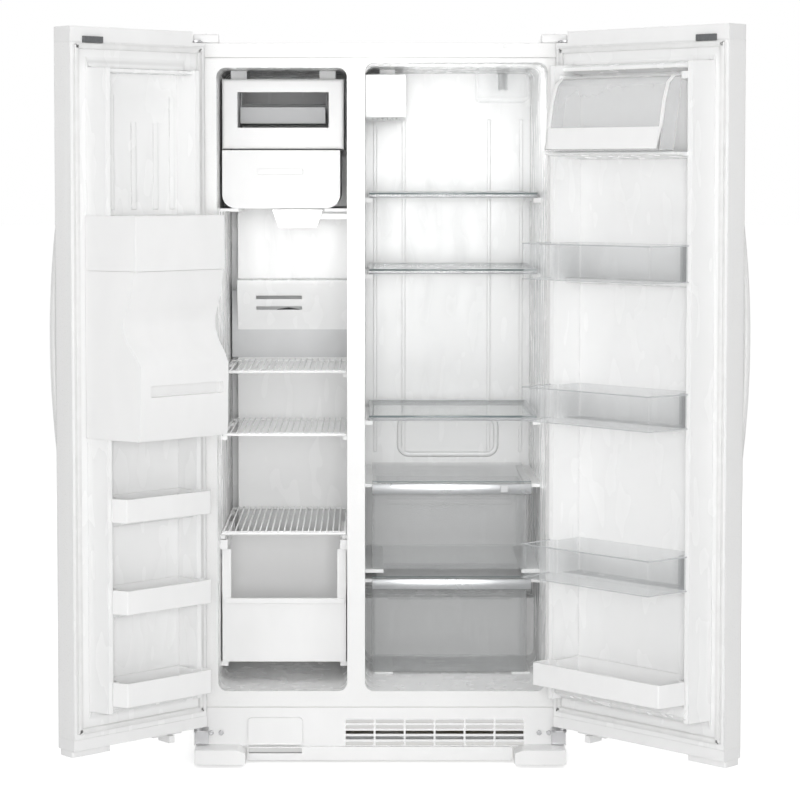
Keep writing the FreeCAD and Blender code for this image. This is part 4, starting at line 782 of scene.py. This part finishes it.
def makeFasteners():
    places = [inCase(side * x, y, 1774.2 - 0.4) for side in (-1, 1) for x, y in ((420, 14), (436, 38))]
    spotsOf("hingeScrews", screwForm((0, 0, 1), 3.6, 1.4), [p + Vector((0, 0, -0.0022)) for p in places],
            "cabinet", "zincPlate")
    backPlaces = []
    for z in range(330, 1720, 150):
        for x in (-443, 443):
            backPlaces.append(inCase(x, 715.2, z))
    for x in range(-360, 361, 120):
        backPlaces.append(inCase(x, 715.2, 1706))
        backPlaces.append(inCase(x, 715.2, 66))
    spotsOf("rearScrews", screwForm((0, 1, 0), 4.0, 1.6), backPlaces, "cabinet", "zincPlate")


makeFasteners()
print("fasteners made")


# rims and frames of the clear door bins and the dairy lid

binRims = {
    "tops": ((1275, 1191), (940, 860), (571, 491)), "hinge": 62, "free": 416, "reach": 190,
    "lid": [(66, 1660), (92, 1656), (112, 1640), (126, 1600), (138, 1540), (146, 1492)],
    "lidX": (93, 430), "lidFrame": 9,
}


def makeBinRims(s):
    form = bmesh.new()
    width = doorWidths["fridge"]
    outline = [(62, 91), (62, 190), (width - 72, 190), (width - 53, 73)]
    for top, low in s["tops"]:
        for z, thick in ((top, 2.2), (low + 1.6, 1.6)):
            for (a0, n0), (a1, n1) in zip(outline, outline[1:]):
                length = math.hypot(a1 - a0, n1 - n0)
                na, nn = (n1 - n0) / length, -(a1 - a0) / length
                loop = [(a0, n0), (a1, n1), (a1 + na * 3.4, n1 + nn * 3.4), (a0 + na * 3.4, n0 + nn * 3.4)]
                addLoft(form, [[onFridgeDoor(a, n, h) for a, n in loop] for h in (z - thick, z + 0.4)])
    pieceFrom("binRims", form, "fridge_door", "clearEdge")
    form = bmesh.new()
    line = s["lid"]
    for near, far in ((s["lidX"][0], s["lidX"][0] + s["lidFrame"]), (s["lidX"][1] - s["lidFrame"], s["lidX"][1])):
        loops = [[onFridgeDoor(a, n + rise, z + rise) for a, rise in ((near, 0.1), (far, 0.1), (far, 1.6), (near, 1.6))]
                 for n, z in line]
        addLoft(form, loops)
    for (n, z), (m, y) in ((line[0], line[1]), (line[-2], line[-1])):
        loops = [[onFridgeDoor(a, p + rise, q + rise) for p, q, rise in ((n, z, 0.1), (m, y, 0.1), (m, y, 1.6), (n, z, 1.6))]
                 for a in s["lidX"]]
        addLoft(form, loops)
    pieceFrom("lidFrame", form, "dairy_cover", "whiteMoulding", 0.4)


makeBinRims(binRims)
print("bin rims made")


# the dispenser's face

face = {
    "n": -74.2, "x": (105, 285), "screenX": (150, 240), "screenZ": (1284, 1306),
    "buttonX": (118, 134, 256, 272), "buttonZ": 1295, "labels": (("ICE", 126), ("WATER", 264)), "slats": 13,
}


def makeDispenserFace(s):
    form = bmesh.new()
    section = [(0, s["n"] + 0.4), (0, s["n"] - 1.2), (-3, s["n"] - 1.2), (-5, s["n"] + 0.4)]
    addRing(form, onFreezerDoor, (s["x"][0] - 6, s["x"][1] + 6), (952, 1266), 10, section, 5)
    pieceFrom("wellRim", form, "freezer_door", "silverStrip")
    form = bmesh.new()
    addBlock(form, onFreezerDoor, s["screenX"], (s["n"] - 0.9, s["n"] + 0.3), s["screenZ"])
    pieceFrom("faceScreen", form, "freezer_door", "screenGlass", 0.5)
    form = bmesh.new()
    for across in s["buttonX"]:
        addTurned(form, onFreezerDoor(across, s["n"], s["buttonZ"]),
                  onFreezerDoor(0, -1, 0) - onFreezerDoor(0, 0, 0),
                  [(-0.4, 6), (1.0, 6), (1.5, 5.2), (1.2, 3.6), (1.1, 1)], 20)
    pieceFrom("faceButtons", form, "freezer_door", "greyMoulding")
    toward = (onFreezerDoor(0, -1, 0) - onFreezerDoor(0, 0, 0)).normalized()
    for words, across in s["labels"]:
        text = bpy.data.curves.new("label" + words.title(), "FONT")
        text.body = words
        text.size = 0.0085
        text.align_x = "CENTER"
        text.extrude = 0.00012
        holder = bpy.data.objects.new("labelHolder", text)
        bpy.context.scene.collection.objects.link(holder)
        bpy.context.view_layer.update()
        graph = bpy.context.evaluated_depsgraph_get()
        mesh = bpy.data.meshes.new_from_object(holder.evaluated_get(graph), depsgraph=graph)
        bpy.data.objects.remove(holder)
        up = Vector((0, 0, 1))
        right = up.cross(toward).normalized()
        spot = onFreezerDoor(across, s["n"] - 0.1, s["buttonZ"] - 18)
        turn = Matrix((right, up, toward)).transposed().to_4x4()
        turn.translation = spot
        mesh.transform(turn)
        piece = bpy.data.objects.new("label" + words.title(), mesh)
        bpy.context.scene.collection.objects.link(piece)
        finishPiece(piece, "freezer_door", "printInk")


makeDispenserFace(face)
print("dispenser face made")


# controls in the fridge's ceiling box

controls = {"front": 199.6, "knobX": (-8, 34), "knobZ": 1632, "vents": 6, "face": (-33, 61)}


def makeControls(s):
    form = bmesh.new()
    for x in s["knobX"]:
        addTurned(form, inCase(x, s["front"], s["knobZ"]), (0, -1, 0),
                  [(-0.5, 13), (1.6, 13), (2.2, 12), (2.4, 9), (8, 8), (9, 6.5)], 28)
    pieceFrom("coldKnobs", form, "cabinet", "whiteMoulding")
    form = bmesh.new()
    for x in s["knobX"]:
        addBlock(form, inCase, (x - 0.8, x + 0.8), (s["front"] - 9.6, s["front"] - 8.6), (s["knobZ"] + 1, s["knobZ"] + 7))
    pieceFrom("knobMarks", form, "cabinet", "printInk")
    form = bmesh.new()
    addBlock(form, inCase, (s["face"][0] + 2, s["face"][1] - 2), (s["front"] - 0.7, s["front"] + 0.4), (1578, 1592))
    pieceFrom("controlLip", form, "cabinet", "paleGreyMoulding", 0.4)


makeControls(controls)
print("controls made")


# hinge bolts, foot threads and the filter cover's finger pull

def makeSmallMetal():
    form = bmesh.new()
    addTurned(form, Vector((0, 0, 0)), (0, -1, 0), [(-1, 6.5), (3.4, 6.5), (4.2, 5.6), (4.2, 3), (2.6, 2.6)], 6)
    places = [inCase(side * x, -1, z) for side in (-1, 1) for x, z in ((412, 74), (388, 74))]
    spotsOf("hingeBolts", form, places, "cabinet", "zincPlate")
    form = bmesh.new()
    lowest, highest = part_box("leveling_legs")
    for side in (-1, 1):
        for k in range(12):
            z = 14 + k * 3
            addTurned(form, inCase(side * 388, 90, z), (0, 0, 1), [(0, 7.9), (0.8, 8.7), (1.6, 7.9)], 20)
    pieceFrom("footThreads", form, "cabinet", "zincPlate")
    form = bmesh.new()
    section = [(0, -4.6), (-1.5, -5.6), (-3.5, -5.6), (-5, -4.6)]
    addRing(form, inCase, (-300, -211), (56, 100), 8, section, 5)
    pieceFrom("filterCoverRim", form, "filter_cover", "whiteMoulding")


makeSmallMetal()
print("small metal made")


# what lies in the machine space, and the rear

def makeMachineDetail():
    pipeOf("suctionLine", [inCase(*p) for p in (
        (150, 600, 150), (150, 600, 210), (120, 640, 262), (40, 660, 270), (-60, 662, 270), (-110, 640, 240))],
        3.6, "cabinet", "copperTube")
    pipeOf("dischargeLine", [inCase(*p) for p in (
        (190, 560, 140), (190, 560, 200), (100, 560, 250), (0, 560, 252), (-100, 575, 230), (-120, 590, 180))],
        2.8, "cabinet", "copperTube")
    pipeOf("waterTube", [inCase(*p) for p in (
        (-384, 690, 120), (-384, 690, 180), (-392, 690, 240), (-400, 680, 286))],
        3.2, "cabinet", "frostedMoulding")


makeMachineDetail()
print("machine space made")


# the handles' rounded edges

for handle in ("freezer_handle", "fridge_handle"):
    rounded = nodes[handle].modifiers.new("rounded", "BEVEL")
    rounded.width = 0.0045
    rounded.segments = 4
    rounded.limit_method = "ANGLE"
    rounded.angle_limit = math.radians(40)
    nodes[handle].modifiers.move(2, 1)
